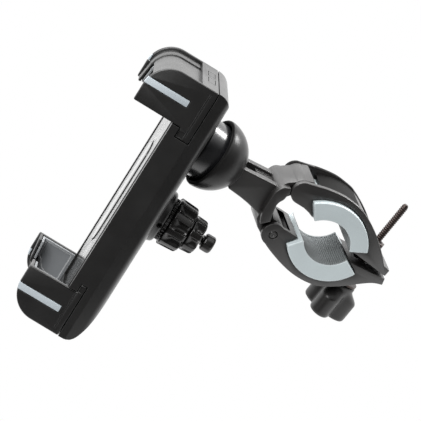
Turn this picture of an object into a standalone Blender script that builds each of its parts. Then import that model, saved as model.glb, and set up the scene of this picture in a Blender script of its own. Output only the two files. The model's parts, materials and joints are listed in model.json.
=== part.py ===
"""Bicycle handlebar phone mount.

World frame, metres: +Y runs along the handlebar, +Z is up, +X points from the phone towards
the handlebar. The origin is the middle of the phone-support face of the cradle.

Three local frames carry the pieces:
  cradle frame  x to the rear of the cradle, y across its width, z along its length
  clamp frame   centred on the ball joint, square to the world
  socket frame  centred on the ball joint, z along the axis of the dome and its locking collar
All the dimensions below are in millimetres, and all the angles in degrees.
"""

import math
from collections import namedtuple
from contextlib import contextmanager

import bmesh
import bpy
from mathutils import Euler, Matrix, Vector

MM = 0.001
GAP = 0.3  # general clearance between pieces
SMOOTH_BELOW = 32.0  # edges that turn less than this are shaded smooth

# ---- where the frames are ----
CRADLE_TURN = (-18.01, 30.64, -17.67)  # Euler XYZ of the cradle
BALL_X, BALL_Z = 23.47, 33.69
BALL = (BALL_X, 0.0, BALL_Z)  # ball centre in the cradle frame
SOCKET_DIP = 40.4  # the socket axis dips this far below +X

# ---- cradle and its jaws ----
HALF_W = 30.75  # half width
HALF_L = 61.2  # half length, jaws closed
JAW_EDGE = 41.0  # z of the claws' edge nearest the middle
LIP_X = -18.4  # front of the claw lips
CHEEK_T = 2.2  # claw cheek thickness
CHEEK_IN = HALF_W - CHEEK_T  # y of a cheek's inner face
CLAW_Y = 18.0  # the claws reach in to this far from the middle
FOOT_X = 4.2  # front of the jaw feet
CORNER_X, CORNER_Z = -6.5, 48.5  # centre of a jaw's elliptical corner
CORNER_A = CORNER_X - LIP_X  # its half axis in x
CORNER_B = HALF_L - 0.1 - CORNER_Z  # its half axis in z
RIM_IN = 1.5  # the claw band sits this far inside the cheek outline
MID_IN = 2.1  # and the wall between the claws this far
MID_Z = 50.8  # where the wall between the claws starts, towards the lip
WALL = 2.2
LINER_IN = MID_IN + WALL + 0.35
STRIPE_Z = (49.45, 52.35)
STRIPE_ROOM = 0.25  # the groove is wider than its stripe by this on each side

# side: which end in z; split: x of the parting line with the housing;
# foot: z where the feet end; block_x: front of the solid end block
Jaw = namedtuple("Jaw", "name side split foot block_x")
TOP_JAW = Jaw("top", side=1, split=10.5, foot=36.6, block_x=2.6)
BOTTOM_JAW = Jaw("bottom", side=-1, split=6.9, foot=37.1, block_x=1.2)

# ---- rear housing ----
REAR_X = 18.0  # rear face of the shell
SIDE_X = 10.3  # where the flat side wall turns into the rear bevel
SHELL_END = 56.6  # half length of the shell ahead of the parting line
DISH_R = 16.2
DISH_FLOOR = 10.3
SCREW_PLACES = [(y, z) for y in (-20.0, 20.0) for z in (-31.0, 31.0)]
SCREW_SEAT_X = 2.35  # underside of the cover screw heads, nearly

# ---- knob stack on the rear: radii and x of the front and rear faces ----
KNOB_Z = -0.7
BOSS_R, BOSS_X = 12.0, 22.0
RING_R, RING_X0, RING_X1 = 9.9, 22.3, 23.7
KNOB_R, KNOB_X0, KNOB_X1 = 11.2, 24.0, 33.2
LOCK_R, LOCK_X0, LOCK_X1 = 8.3, 33.6, 39.5
TIP_R, TIP_X0, TIP_X1 = 4.0, 41.0, 45.9
SHAFT_R = 2.1
OVERSHOOT = 0.01  # an envelope passes the faces of what it trims by this

# ---- rack and pinion ----
MODULE = 1.0
TEETH = 10
PITCH_R = MODULE * TEETH / 2
GEAR_X0, GEAR_X1 = 4.3, 7.1
RACK_TIP_Y = PITCH_R - 0.75
RACK_ROOT_Y = PITCH_R + 1.0
RACK_BAR_Y = RACK_ROOT_Y - 0.6  # the plain bar is a little wider than the root
RACK_BACK_Y = 11.6
RACK_END_Z = 55.6
TONGUE_Y = (5.2, 13.4)
TONGUE_SLOT_Y = (TONGUE_Y[0] - 0.8, TONGUE_Y[1] + 0.8)

# ---- ball joint (socket frame: radius and height along the axis) ----
BALL_R = 8.0
NECK_R = 3.3
COLLAR_R = 13.4
COLLAR_FRONT = -9.0
COLLAR_OPENING = 5.3  # the collar's seat stops this far in front of the ball centre
SKIRT_END = 6.0
DOME_R = 16.2
DOME_LIP_R = 14.2
DOME_FLOOR = 6.4

# ---- clamp (clamp frame: x, z; half widths in y) ----
PLASTIC_Y = 11.0
MID_Y = 8.3
RIB_Y = 8.7
RUBBER_Y = 13.4
ARM_Y = 7.75
BORE_Y = 20.0  # cutting rods reach this far, beyond both sides
UPPER_PIVOT = (38.3, -17.2)
LOWER_PIVOT = (25.5, -36.0)
KNUCKLE_R = 5.2
PIN_R = 1.75
UPPER_PIN_Y = 10.1  # half length: this pin is hidden in its arm
LOWER_PIN_Y = 11.0
# circles of the rubbers: centre, radius
UPPER_OUTER = ((44.3, -43.6), 22.7)
UPPER_INNER = ((45.8, -42.6), 13.2)
LOWER_OUTER = ((51.6, -39.5), 20.3)
LOWER_INNER = ((51.3, -39.0), 12.7)

# ---- clamp bolt (heights along the bolt, from BOLT_AT) ----
BOLT_AT = (74.25, -48.1)
BOLT_DIR = (0.6, 0.8)
BOLT_R = 1.6
BOLT_END = 20.2
THREAD_PITCH = 1.4
THREAD_RINGS = 16
SEAT_HEIGHT = -23.0
WING_TOP, WING_BOTTOM = -24.6, -41.3
WING_R, HUB_R = 11.7, 6.4

for old in list(bpy.data.objects):
    bpy.data.objects.remove(old, do_unlink=True)

PARTS = bpy.data.collections.new("bicycle_phone_mount")
bpy.context.scene.collection.children.link(PARTS)
bpy.context.scene.unit_settings.scale_length = 1.0


# =============================================================================
# Materials
# =============================================================================
def material(name, colour, roughness, metallic=0.0):
    mat = bpy.data.materials.new(name)
    mat.use_nodes = True
    shader = mat.node_tree.nodes["Principled BSDF"]
    shader.inputs["Base Color"].default_value = (*colour, 1.0)
    shader.inputs["Roughness"].default_value = roughness
    shader.inputs["Metallic"].default_value = metallic
    mat.diffuse_color = (*colour, 1.0)
    return mat


BLACK = material("housing_black", colour=(0.030, 0.029, 0.029), roughness=0.42)
PLATE_BLACK = material("plate_black", colour=(0.035, 0.034, 0.034), roughness=0.35)
PAD = material("pad_rubber", colour=(0.050, 0.050, 0.050), roughness=0.50)
LINER = material("liner_grey", colour=(0.16, 0.17, 0.18), roughness=0.60)
STRIPE = material("stripe_grey", colour=(0.42, 0.47, 0.50), roughness=0.55)
NYLON = material("nylon_white", colour=(0.60, 0.59, 0.55), roughness=0.50)
KNOB = material("knob_black", colour=(0.018, 0.018, 0.018), roughness=0.30)
STEEL = material("steel", colour=(0.45, 0.44, 0.42), roughness=0.35, metallic=1.0)
DARK_STEEL = material("dark_steel", colour=(0.10, 0.075, 0.065), roughness=0.40, metallic=1.0)
COLLAR = material("collar_satin", colour=(0.030, 0.031, 0.033), roughness=0.25)
CLAMP = material("clamp_black", colour=(0.034, 0.033, 0.033), roughness=0.45)
RUBBER = material("clamp_rubber", colour=(0.42, 0.48, 0.50), roughness=0.65)


# =============================================================================
# Frames
# =============================================================================
def empty(name, parent=None):
    obj = bpy.data.objects.new(name, None)
    obj.empty_display_size = 0.01
    PARTS.objects.link(obj)
    obj.parent = parent
    return obj


def facing(x, y, z, towards=1):
    """A frame at a point of the cradle, its z axis to the rear (1) or to the front (-1)."""
    return Matrix.Translation((x, y, z)) @ Matrix.Rotation(towards * math.pi / 2, 4, "Y")


CRADLE_FRAME = empty("cradle_frame")
CRADLE_FRAME.rotation_euler = Euler([math.radians(angle) for angle in CRADLE_TURN], "XYZ")
CLAMP_FRAME = empty("clamp_frame")
CLAMP_FRAME.location = CRADLE_FRAME.rotation_euler.to_matrix() @ (Vector(BALL) * MM)
SOCKET_FRAME = empty("socket_frame", CLAMP_FRAME)
SOCKET_TURN = math.radians(90.0 + SOCKET_DIP)
SOCKET_FRAME.rotation_euler = (0.0, SOCKET_TURN, 0.0)

IDENTITY = Matrix.Identity(4)
KNOB_FRAME = facing(0, 0, KNOB_Z)
BOLT_FRAME = Matrix(
    (
        (BOLT_DIR[1], 0, BOLT_DIR[0], BOLT_AT[0]),
        (0, 1, 0, 0),
        (-BOLT_DIR[0], 0, BOLT_DIR[1], BOLT_AT[1]),
        (0, 0, 0, 1),
    )
)


# =============================================================================
# Outlines
# =============================================================================
def span(side, start, end):
    """Two distances from the middle, taken to one side of it (-1 or 1)."""
    return side * start, side * end


def both(half):
    return -half, half


def flip(outline, side):
    return [(x, z * side) for x, z in outline]


def arc(centre, radius, start, end, steps):
    """Points on a circle from one angle to another."""
    angles = [math.radians(start + (end - start) * i / steps) for i in range(steps + 1)]
    return [
        (centre[0] + radius * math.cos(angle), centre[1] + radius * math.sin(angle))
        for angle in angles
    ]


def angle_of(centre, point):
    return math.degrees(math.atan2(point[1] - centre[1], point[0] - centre[0]))


def clockwise(centre, radius, first, last, steps):
    """An arc whose angle falls from the bearing of one point to the bearing of another."""
    start, end = angle_of(centre, first), angle_of(centre, last)
    if end > start:
        end -= 360.0
    return arc(centre, radius, start, end, steps)


def polygon(centre, radius, sides):
    return arc(centre, radius, 0, 360 - 360 / sides, sides - 1)


def sphere_profile(radius, start, end, steps, side=1):
    """(radius, height) on a sphere between two angles from its axis; side -1 is below."""
    return [(r, side * height) for height, r in arc((0, 0), radius, start, end, steps)]


def fluted(radius, depth, count, steps, sharpness=1.0):
    """A circle with evenly spaced rounded valleys; a higher sharpness narrows them."""
    points = []
    for i in range(steps):
        angle = 2 * math.pi * i / steps
        wave = 0.5 + 0.5 * math.cos(count * angle)
        r = radius - depth * (1 - wave) ** sharpness
        points.append((r * math.cos(angle), r * math.sin(angle)))
    return points


# =============================================================================
# Solids: meshes in millimetres, placed by finish()
# =============================================================================
@contextmanager
def editing(mesh):
    bm = bmesh.new()
    bm.from_mesh(mesh)
    yield bm
    bm.to_mesh(mesh)
    bm.free()


def linked(name, data):
    obj = bpy.data.objects.new(name, data)
    PARTS.objects.link(obj)
    return obj


def from_bmesh(name, bm):
    bmesh.ops.recalc_face_normals(bm, faces=bm.faces)
    mesh = bpy.data.meshes.new(name)
    bm.to_mesh(mesh)
    bm.free()
    return linked(name, mesh)


def evaluated_copy(obj):
    """Replace an object by a mesh of its evaluated shape, with its modifiers applied."""
    bpy.context.view_layer.update()
    graph = bpy.context.evaluated_depsgraph_get()
    mesh = bpy.data.meshes.new_from_object(obj.evaluated_get(graph))
    name = obj.name
    bpy.data.objects.remove(obj, do_unlink=True)
    return linked(name, mesh)


def moved(obj, matrix):
    obj.data.transform(matrix)
    return obj


def box(x_span, y_span, z_span):
    """A box between two values on each axis, given in either order."""
    spans = (x_span, y_span, z_span)
    bm = bmesh.new()
    bmesh.ops.create_cube(bm, size=1.0)
    bmesh.ops.scale(bm, vec=[abs(b - a) for a, b in spans], verts=bm.verts)
    bmesh.ops.translate(bm, vec=[(a + b) / 2 for a, b in spans], verts=bm.verts)
    return from_bmesh("box", bm)


def rod(start, end, radius, segments):
    """A cylinder between two points."""
    start, end = Vector(start), Vector(end)
    axis = end - start
    bm = bmesh.new()
    bmesh.ops.create_cone(
        bm,
        cap_ends=True,
        segments=segments,
        radius1=radius,
        radius2=radius,
        depth=axis.length,
    )
    turn = axis.to_track_quat("Z", "Y").to_matrix().to_4x4()
    bmesh.ops.transform(
        bm, matrix=Matrix.Translation((start + end) / 2) @ turn, verts=bm.verts
    )
    return from_bmesh("rod", bm)


def rod_x(x0, x1, radius, segments, y=0.0, z=KNOB_Z):
    """A cylinder along x, on the knob axis unless it is placed elsewhere."""
    return rod((x0, y, z), (x1, y, z), radius, segments)


def hinge_bore(pivot, radius, segments=20, half_length=BORE_Y):
    """A cylinder along y through a pivot of the clamp."""
    x, z = pivot
    return rod((x, -half_length, z), (x, half_length, z), radius, segments)


def ball(centre, radius, u_segments, v_segments, pole=(1, 0, 0)):
    bm = bmesh.new()
    bmesh.ops.create_uvsphere(
        bm, u_segments=u_segments, v_segments=v_segments, radius=radius
    )
    turn = Vector(pole).to_track_quat("Z", "Y").to_matrix().to_4x4()
    bmesh.ops.transform(
        bm, matrix=Matrix.Translation(Vector(centre)) @ turn, verts=bm.verts
    )
    return from_bmesh("ball", bm)


# for each direction of a plate's thickness: its unit vector, and the turn from the XY plane
DIRECTIONS = {
    "X": (Vector((1, 0, 0)), Matrix(((0, 0, 1, 0), (1, 0, 0, 0), (0, 1, 0, 0), (0, 0, 0, 1)))),
    "Y": (Vector((0, 1, 0)), Matrix(((1, 0, 0, 0), (0, 0, -1, 0), (0, 1, 0, 0), (0, 0, 0, 1)))),
    "Z": (Vector((0, 0, 1)), IDENTITY),
}


def plate(outline, start, end, along="Y", frame=IDENTITY):
    """A flat outline with thickness, from start to end in either order.

    Along Y the outline is (x, z), along X it is (y, z), along Z it is (x, y).
    """
    curve = bpy.data.curves.new("plate", "CURVE")
    curve.dimensions = "2D"
    curve.fill_mode = "BOTH"
    curve.extrude = abs(end - start) / 2
    spline = curve.splines.new("POLY")
    spline.points.add(len(outline) - 1)
    for point, (a, b) in zip(spline.points, outline):
        point.co = (a, b, 0.0, 1.0)
    spline.use_cyclic_u = True
    solid = evaluated_copy(linked("plate", curve))
    direction, turn = DIRECTIONS[along]
    placed = frame @ Matrix.Translation(direction * ((start + end) / 2)) @ turn
    with editing(solid.data) as bm:
        bmesh.ops.remove_doubles(bm, verts=bm.verts, dist=1e-4)
        bmesh.ops.transform(bm, matrix=placed, verts=bm.verts)
        bmesh.ops.recalc_face_normals(bm, faces=bm.faces)
    return solid


def turned(profile, steps, closed=False, frame=IDENTITY):
    """A profile of (radius, height) swept round +Z by a Screw."""
    mesh = bpy.data.meshes.new("turned")
    edges = [(i, i + 1) for i in range(len(profile) - 1)]
    if closed:
        edges.append((len(profile) - 1, 0))
    mesh.from_pydata([(r, 0.0, height) for r, height in profile], edges, [])
    obj = linked("turned", mesh)
    screw = obj.modifiers.new("turn", "SCREW")
    screw.steps = screw.render_steps = steps
    screw.use_merge_vertices = True
    screw.merge_threshold = 1e-5
    obj = evaluated_copy(obj)
    with editing(obj.data) as bm:
        bmesh.ops.remove_doubles(bm, verts=bm.verts, dist=1e-5)
        bmesh.ops.recalc_face_normals(bm, faces=bm.faces)
        bmesh.ops.transform(bm, matrix=frame, verts=bm.verts)
    return obj


def boolean(target, tool, operation):
    modifier = target.modifiers.new(operation.lower(), "BOOLEAN")
    modifier.operation = operation
    modifier.solver = "EXACT"
    modifier.object = tool
    target = evaluated_copy(target)
    bpy.data.objects.remove(tool, do_unlink=True)
    return target


def cut(target, *tools):
    for tool in tools:
        target = boolean(target, tool, "DIFFERENCE")
    return target


def join(target, *tools):
    for tool in tools:
        target = boolean(target, tool, "UNION")
    return target


def keep(target, tool):
    return boolean(target, tool, "INTERSECT")


def soften(obj, width, angle):
    """Bevel the edges that turn more than the angle."""
    with editing(obj.data) as bm:
        bmesh.ops.remove_doubles(bm, verts=bm.verts, dist=1e-4)
        bmesh.ops.dissolve_limit(
            bm, angle_limit=math.radians(1.0), verts=bm.verts, edges=bm.edges
        )
    bevel = obj.modifiers.new("edge", "BEVEL")
    bevel.width = width
    bevel.segments = 1
    bevel.limit_method = "ANGLE"
    bevel.angle_limit = math.radians(angle)
    return evaluated_copy(obj)


def finish(obj, name, frame, mat, pivot=(0.0, 0.0, 0.0)):
    """Scale to metres, put the origin at the pivot, and hang the object on its frame."""
    moved(obj, Matrix.Scale(MM, 4) @ Matrix.Translation(-Vector(pivot)))
    obj.name = name
    obj.data.name = name
    obj.parent = frame
    obj.location = Vector(pivot) * MM
    obj.data.materials.clear()
    obj.data.materials.append(mat)
    obj.data.shade_smooth()
    obj.data.set_sharp_from_angle(angle=math.radians(SMOOTH_BELOW))


# =============================================================================
# Cradle: rear housing, front plate and pad
# =============================================================================
def housing_shell():
    """The shell: a side outline trimmed by a cross-section, then hollowed."""
    top_x = TOP_JAW.split
    bottom_x = BOTTOM_JAW.split + GAP
    side_outline = (  # (x, z), from the lower end up the rear face
        [(0.4, -SHELL_END), (top_x, -SHELL_END), (top_x, -61.05)]
        + [(12.2, -60.4), (13.6, -59.0), (14.9, -56.3), (16.2, -52.0)]
        + [(17.0, -47.3), (17.7, -40.0), (REAR_X, -33.0)]
        + arc((11.2, 54.2), 7.0, 5, 84, 6)
        + [(top_x + GAP, HALF_L), (top_x + GAP, SHELL_END), (0.4, SHELL_END)]
    )
    lower_end = [  # it reaches further forward, to its own parting line
        (bottom_x, -HALF_L),
        (10.0, -61.1),
        (top_x + 0.9, -60.5),
        (top_x + 0.9, -55.0),
        (bottom_x, -55.0),
    ]
    bevel = [(13.5, 29.9), (15.8, 28.2), (17.2, 25.2), (17.8, 21.0), (REAR_X, 16.0)]
    section = (  # (x, y)
        [(-5.0, -HALF_W), (SIDE_X, -HALF_W)]
        + [(x, -y) for x, y in bevel]
        + [(REAR_X + 0.3, 0.0)]
        + bevel[::-1]
        + [(SIDE_X, HALF_W), (-5.0, HALF_W)]
    )
    shell = plate(side_outline, *both(HALF_W))
    shell = join(shell, plate(lower_end, *both(HALF_W)))
    shell = keep(shell, plate(section, *both(70.0), along="Z"))
    return cut(
        shell,
        box((-2, 12.0), both(26.2), both(55.0)),
        box((11.5, 15.9), both(23.6), (-46.0, 51.0)),
    )


def cut_jaw_seats(housing):
    """Room for the cheeks, the feet and the rack tongue of each jaw."""
    for jaw in (TOP_JAW, BOTTOM_JAW):
        side = jaw.side
        seat_x = jaw.split + GAP
        for y in (-1, 1):
            across = span(y, CHEEK_IN - GAP, HALF_W + 3)
            housing = cut(
                housing,
                box((-2, seat_x), across, span(side, JAW_EDGE - GAP, 70)),
                box((FOOT_X - GAP, seat_x), across, span(side, jaw.foot - GAP, JAW_EDGE + 1)),
            )
        slot = box((GEAR_X0 - 4.4, GEAR_X1 + 1.4), span(side, *TONGUE_SLOT_Y), span(side, 50, 70))
        housing = cut(housing, slot)
    return housing


def add_ball_dish(housing):
    """The wall of the dish round the ball, the dish itself, and the base of the stud."""
    wall = keep(
        ball(BALL, DISH_R + 1.5, 28, 18),
        box((DISH_FLOOR - 1.4, 17.2), both(24), (BALL_Z - 20, BALL_Z + 17.6)),
    )
    hollow = keep(
        ball(BALL, DISH_R, 32, 20),
        box((DISH_FLOOR, 40.0), both(24), (BALL_Z - 20, BALL_Z + 20)),
    )
    housing = join(housing, wall)
    housing = cut(housing, hollow, rod_x(17.0, 22, 18.5, 36, z=BALL_Z))
    housing = join(housing, rod_x(7.6, 10.0, 5.4, 20, z=BALL_Z))
    return cut(housing, rod_x(5.0, 12.0, 1.85, 16, z=BALL_Z))


def rear_housing():
    boss = [
        (0, BOSS_X),
        (BOSS_R - 1.2, BOSS_X),
        (BOSS_R, BOSS_X - 1.4),
        (BOSS_R + 1.2, 17.0),
        (5.4, 14.0),
        (0, 14.0),
    ]
    housing = cut_jaw_seats(housing_shell())
    housing = join(housing, turned(boss, 28, frame=KNOB_FRAME))
    housing = add_ball_dish(housing)
    for y, z in SCREW_PLACES:
        housing = join(housing, rod_x(3.9, 16.4, 3.0, 12, y, z))
        housing = cut(housing, rod_x(3.0, 12.0, 1.25, 10, y, z))
    # spindle bearing, and the little hole in the -Y side of the boss
    hole_x, hole_z = 20.3, KNOB_Z - 1.6
    housing = cut(
        housing,
        rod_x(12.0, 24.0, SHAFT_R + 0.35, 20),
        rod((hole_x, -14.0, hole_z), (hole_x, -8.6, hole_z), 0.8, 10),
    )
    finish(housing, "rear_housing", CRADLE_FRAME, BLACK)


def front_plate():
    """The cover, recessed for the pad, notched for the tongues and drilled for its screws."""
    cover = box((0.05, 3.6), both(25.9), both(54.7))
    cover = cut(cover, box((-1, 1.5), both(24.3), both(50.0)))
    for side in (-1, 1):
        notch = box((GEAR_X0 - 1.35, 6), span(side, *TONGUE_SLOT_Y), span(side, 49.8, 60))
        cover = cut(cover, notch)
    for y, z in SCREW_PLACES:
        cover = cut(cover, rod_x(1.0, 2.7, 2.5, 16, y, z), rod_x(2.0, 5.0, 1.4, 12, y, z))
    finish(cover, "front_plate", CRADLE_FRAME, PLATE_BLACK)


def grip_pad():
    """A thin pad with a raised stadium in the middle."""
    stadium = arc((0, 17.5), 7.0, 0, 180, 10) + arc((0, -17.5), 7.0, 180, 360, 10)
    pad = box((0.5, 1.2), both(24.0), both(49.7))
    pad = join(pad, plate(stadium, 0.0, 0.9, along="X"))
    finish(pad, "grip_pad", CRADLE_FRAME, PAD)


# =============================================================================
# Jaws, with their racks, liners and stripes; outlines are for the upper end
# =============================================================================
def corner(inset, steps=8, above=0.0):
    """A jaw's rounded corner in (x, z), from the lip to the end wall, set in by a distance.

    Only the points with z over the limit are kept.
    """
    angles = [math.pi / 2 * i / steps for i in range(steps + 1)]
    points = [
        (
            CORNER_X - (CORNER_A - inset) * math.cos(angle),
            CORNER_Z + (CORNER_B - inset) * math.sin(angle),
        )
        for angle in angles
    ]
    return [(x, z) for x, z in points if z > above]


def lip_at(z):
    """X of the cheek's front edge at this height on the corner."""
    share = (z - CORNER_Z) / CORNER_B
    return CORNER_X - CORNER_A * math.sqrt(1.0 - share * share)


def cheek_outline(jaw):
    return (
        [(LIP_X, JAW_EDGE)]
        + corner(0.0)
        + [(jaw.split, HALF_L), (jaw.split, jaw.foot), (FOOT_X, jaw.foot), (FOOT_X, JAW_EDGE)]
    )


def claw_outline():
    """A claw from its thin lip round to the end wall."""
    end_x, start_z = 2.6, JAW_EDGE + 0.15
    deep = RIM_IN + WALL
    outside = [(LIP_X + 0.6, start_z)] + corner(RIM_IN) + [(end_x, HALF_L - RIM_IN)]
    inside = [(LIP_X + 1.8, start_z), (LIP_X + 2.6, 50.2), (LIP_X + 4.1, 50.4)]
    inside += corner(deep, above=51.0) + [(end_x, HALF_L - deep)]
    return outside + inside[::-1]


def end_wall_outline(jaw):
    """The wall between the claws, open at the front."""
    deep = MID_IN + WALL
    outside = corner(MID_IN, 12, above=MID_Z) + [(jaw.split, HALF_L - MID_IN)]
    inside = corner(deep, 12, above=MID_Z) + [(jaw.split, HALF_L - deep)]
    return outside + inside[::-1]


LINER_FOOT = (LIP_X + 2.17, JAW_EDGE + 0.4)
LINER_BEND = (LIP_X + 2.92, 49.8)


def liner_outline():
    """A liner on the inside of a cheek."""
    return (
        [LINER_FOOT, LINER_BEND]
        + corner(LINER_IN, above=49.9)
        + [(0.1, HALF_L - LINER_IN), (0.1, LINER_FOOT[1])]
    )


def liner_strip():
    """The part of a liner that turns in behind the lip, 1 mm thick."""
    back = [(x + 1.0, z) for x, z in (LINER_BEND, LINER_FOOT)]
    return [LINER_FOOT, LINER_BEND] + back


def jaw_shell(jaw):
    """Cheeks, claws, end wall and the solid block behind it."""
    side = jaw.side
    halves = []
    for y in (-1, 1):
        cheek = plate(flip(cheek_outline(jaw), side), *span(y, HALF_W, CHEEK_IN))
        cheek = soften(cheek, 0.35, 50)
        claw = plate(flip(claw_outline(), side), *span(y, CHEEK_IN + 0.4, CLAW_Y))
        halves.append(join(cheek, claw))
    return join(
        *halves,
        plate(flip(end_wall_outline(jaw), side), *both(CHEEK_IN + 0.5)),
        box((jaw.block_x, jaw.split - 0.03), both(HALF_W - 0.8), span(side, 57.0, HALF_L - 0.05)),
    )


def jaw_piece(jaw):
    """A jaw with the tongue that holds its rack and the grooves for its stripes."""
    side = jaw.side
    tongue = box((GEAR_X0 - 1.0, GEAR_X1 + 1.0), span(side, *TONGUE_Y), span(side, 50.6, 58.0))
    pocket = box(
        (GEAR_X0 - GAP, GEAR_X1 + GAP),
        span(side, RACK_BAR_Y - GAP, RACK_BACK_Y + GAP),
        (side * 45.0, side * (RACK_END_Z + GAP) + KNOB_Z),
    )
    body = cut(join(jaw_shell(jaw), tongue), pocket)
    groove_z = span(side, STRIPE_Z[0] - STRIPE_ROOM, STRIPE_Z[1] + STRIPE_ROOM)
    for y in (-1, 1):
        body = cut(
            body,
            box((-30, 2.2), span(y, HALF_W - 0.9, HALF_W + 1), groove_z),
            box((-30, LIP_X + 1.25), span(y, CHEEK_IN - 0.2, HALF_W + 1), groove_z),
        )
    finish(body, jaw.name + "_jaw", CRADLE_FRAME, BLACK)


def rack(jaw):
    """A straight rack beside the pinion; its jaw end is a plain bar."""
    side = jaw.side
    start_z = -24.0
    root_half, tip_half = 0.62, 0.28  # half widths of a tooth
    pitch = math.pi * MODULE
    outline = [(RACK_BACK_Y, start_z), (RACK_ROOT_Y, start_z)]
    # the pinion has a tooth on each side in y, so a gap faces its centre
    for k in range(-7, 1):
        centre = (k + 0.5) * pitch
        outline += [
            (RACK_ROOT_Y, centre - root_half),
            (RACK_TIP_Y, centre - tip_half),
            (RACK_TIP_Y, centre + tip_half),
            (RACK_ROOT_Y, centre + root_half),
        ]
    outline += [(RACK_ROOT_Y, 8.0), (RACK_BAR_Y, 10.0)]
    outline += [(RACK_BAR_Y, RACK_END_Z), (RACK_BACK_Y, RACK_END_Z)]
    outline = [(y * side, z * side + KNOB_Z) for y, z in outline]
    bar = plate(outline, GEAR_X0, GEAR_X1, along="X")
    finish(bar, jaw.name + "_rack", CRADLE_FRAME, NYLON)


def liner(jaw, y, tag):
    face = CHEEK_IN - GAP
    body = plate(flip(liner_outline(), jaw.side), *span(y, face - 1.6, face))
    strip = plate(flip(liner_strip(), jaw.side), *span(y, face - 0.4, CLAW_Y + 0.2))
    finish(join(body, strip), f"{jaw.name}_liner_{tag}", CRADLE_FRAME, LINER)


def stripe(jaw, y, tag):
    """A stripe along the outside of a cheek that turns in across its front edge."""
    low, high = STRIPE_Z
    proud = 0.05
    steps = 10
    heights = [low + (high - low) * i / steps for i in range(steps + 1)]
    front = [(lip_at(z) - proud, z) for z in heights]
    run = front + [(1.9, high), (1.9, low)]
    turn_in = front + [(LIP_X + 0.95, high), (LIP_X + 0.95, low)]
    body = join(
        plate(flip(run, jaw.side), *span(y, HALF_W - 0.6, HALF_W + proud)),
        plate(flip(turn_in, jaw.side), *span(y, CHEEK_IN, HALF_W + proud)),
    )
    finish(body, f"{jaw.name}_stripe_{tag}", CRADLE_FRAME, STRIPE)


# =============================================================================
# Spindle and the knobs on it
# =============================================================================
def pinion_outline():
    """The pinion in (y, z)."""
    flank = ((3.95, 0.17), (PITCH_R - 0.2, 0.115), (5.72, 0.055))  # radius, half angle (rad)
    points = []
    for i in range(TEETH):
        mid = 2 * math.pi * i / TEETH
        points += [(r, mid - half) for r, half in flank]
        points += [(r, mid + half) for r, half in flank[::-1]]
    return [(r * math.cos(angle), r * math.sin(angle) + KNOB_Z) for r, angle in points]


def drive_pinion():
    """The pinion with its hub and spindle, bored at the rear end for the tip."""
    gear = join(
        plate(pinion_outline(), GEAR_X0, GEAR_X1, along="X"),
        rod_x(GEAR_X0 - 0.3, 40.0, SHAFT_R, 20),
        rod_x(GEAR_X1 - 0.5, 13.6, 3.4, 20),
    )
    gear = cut(gear, rod_x(36.5, 42.0, 1.35, 12))
    finish(gear, "drive_pinion", CRADLE_FRAME, STEEL, (GEAR_X0, 0, KNOB_Z))


def ratchet_ring():
    ring = plate(fluted(RING_R, 0.5, 36, 144), RING_X0, RING_X1, "Z", KNOB_FRAME)
    ring = cut(ring, rod_x(20, 26, SHAFT_R + 0.35, 20))
    finish(ring, "ratchet_ring", CRADLE_FRAME, KNOB, (RING_X0, 0, KNOB_Z))


def spindle_knob(name, outline, envelope, steps, bore):
    """A fluted knob trimmed by a turned envelope of (radius, x), listed from the rear."""
    rear, front = envelope[0][1], envelope[-1][1]
    ends = (rear + OVERSHOOT, front - OVERSHOOT)
    profile = (
        [(0, ends[0]), (envelope[0][0], ends[0])]
        + envelope[1:-1]
        + [(envelope[-1][0], ends[1]), (0, ends[1])]
    )
    knob = plate(outline, front, rear, "Z", KNOB_FRAME)
    knob = keep(knob, turned(profile, steps, frame=KNOB_FRAME))
    knob = cut(knob, rod_x(*bore, SHAFT_R + 0.3, 20))
    finish(knob, name, CRADLE_FRAME, KNOB, (front, 0, KNOB_Z))


def adjust_knob():
    spindle_knob(
        "adjust_knob",
        outline=fluted(KNOB_R, 2.4, 9, 90, 1.6),
        envelope=[
            (KNOB_R - 2.4, KNOB_X1),
            (KNOB_R - 0.8, KNOB_X1 - 1.4),
            (KNOB_R + 0.2, KNOB_X0 + 1.0),
            (KNOB_R - 0.6, KNOB_X0),
        ],
        steps=36,
        bore=(20, 36),
    )


def lock_knob():
    spindle_knob(
        "lock_knob",
        outline=fluted(LOCK_R, 1.7, 7, 84, 1.6),
        envelope=[
            (LOCK_R - 2.0, LOCK_X1),
            (LOCK_R - 0.6, LOCK_X1 - 1.3),
            (LOCK_R + 0.2, LOCK_X0 + 0.6),
            (LOCK_R - 0.4, LOCK_X0),
        ],
        steps=32,
        bore=(30, 42),
    )


def knob_tip():
    """The tip on its neck, with a stem in the end of the spindle."""
    neck_r, neck_x = 2.4, 40.3
    stem_r, stem_x = 1.05, 37.4
    profile = [
        (0, TIP_X1),
        (2.2, TIP_X1),
        (3.6, TIP_X1 - 0.8),
        (TIP_R, TIP_X1 - 2.2),
        (TIP_R, TIP_X0 + 1.2),
        (3.4, TIP_X0 + 0.2),
        (neck_r, TIP_X0),
        (neck_r, neck_x),
        (stem_r, neck_x),
        (stem_r, stem_x),
        (0, stem_x),
    ]
    tip = turned(profile, 24, frame=KNOB_FRAME)
    finish(tip, "knob_tip", CRADLE_FRAME, KNOB, (TIP_X0, 0, KNOB_Z))


# =============================================================================
# Screws, ball stud and slip ring
# =============================================================================
def cover_screws():
    profile = [(0, 0.75), (2.2, 0.75), (2.2, -0.05), (0.95, -0.05), (0.95, -8.6), (0, -9.0)]
    for number, (y, z) in enumerate(SCREW_PLACES, start=1):
        place = (SCREW_SEAT_X, y, z)
        screw = turned(profile, 12, frame=facing(*place, towards=-1))
        finish(screw, f"cover_screw_{number}", CRADLE_FRAME, STEEL, place)


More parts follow.
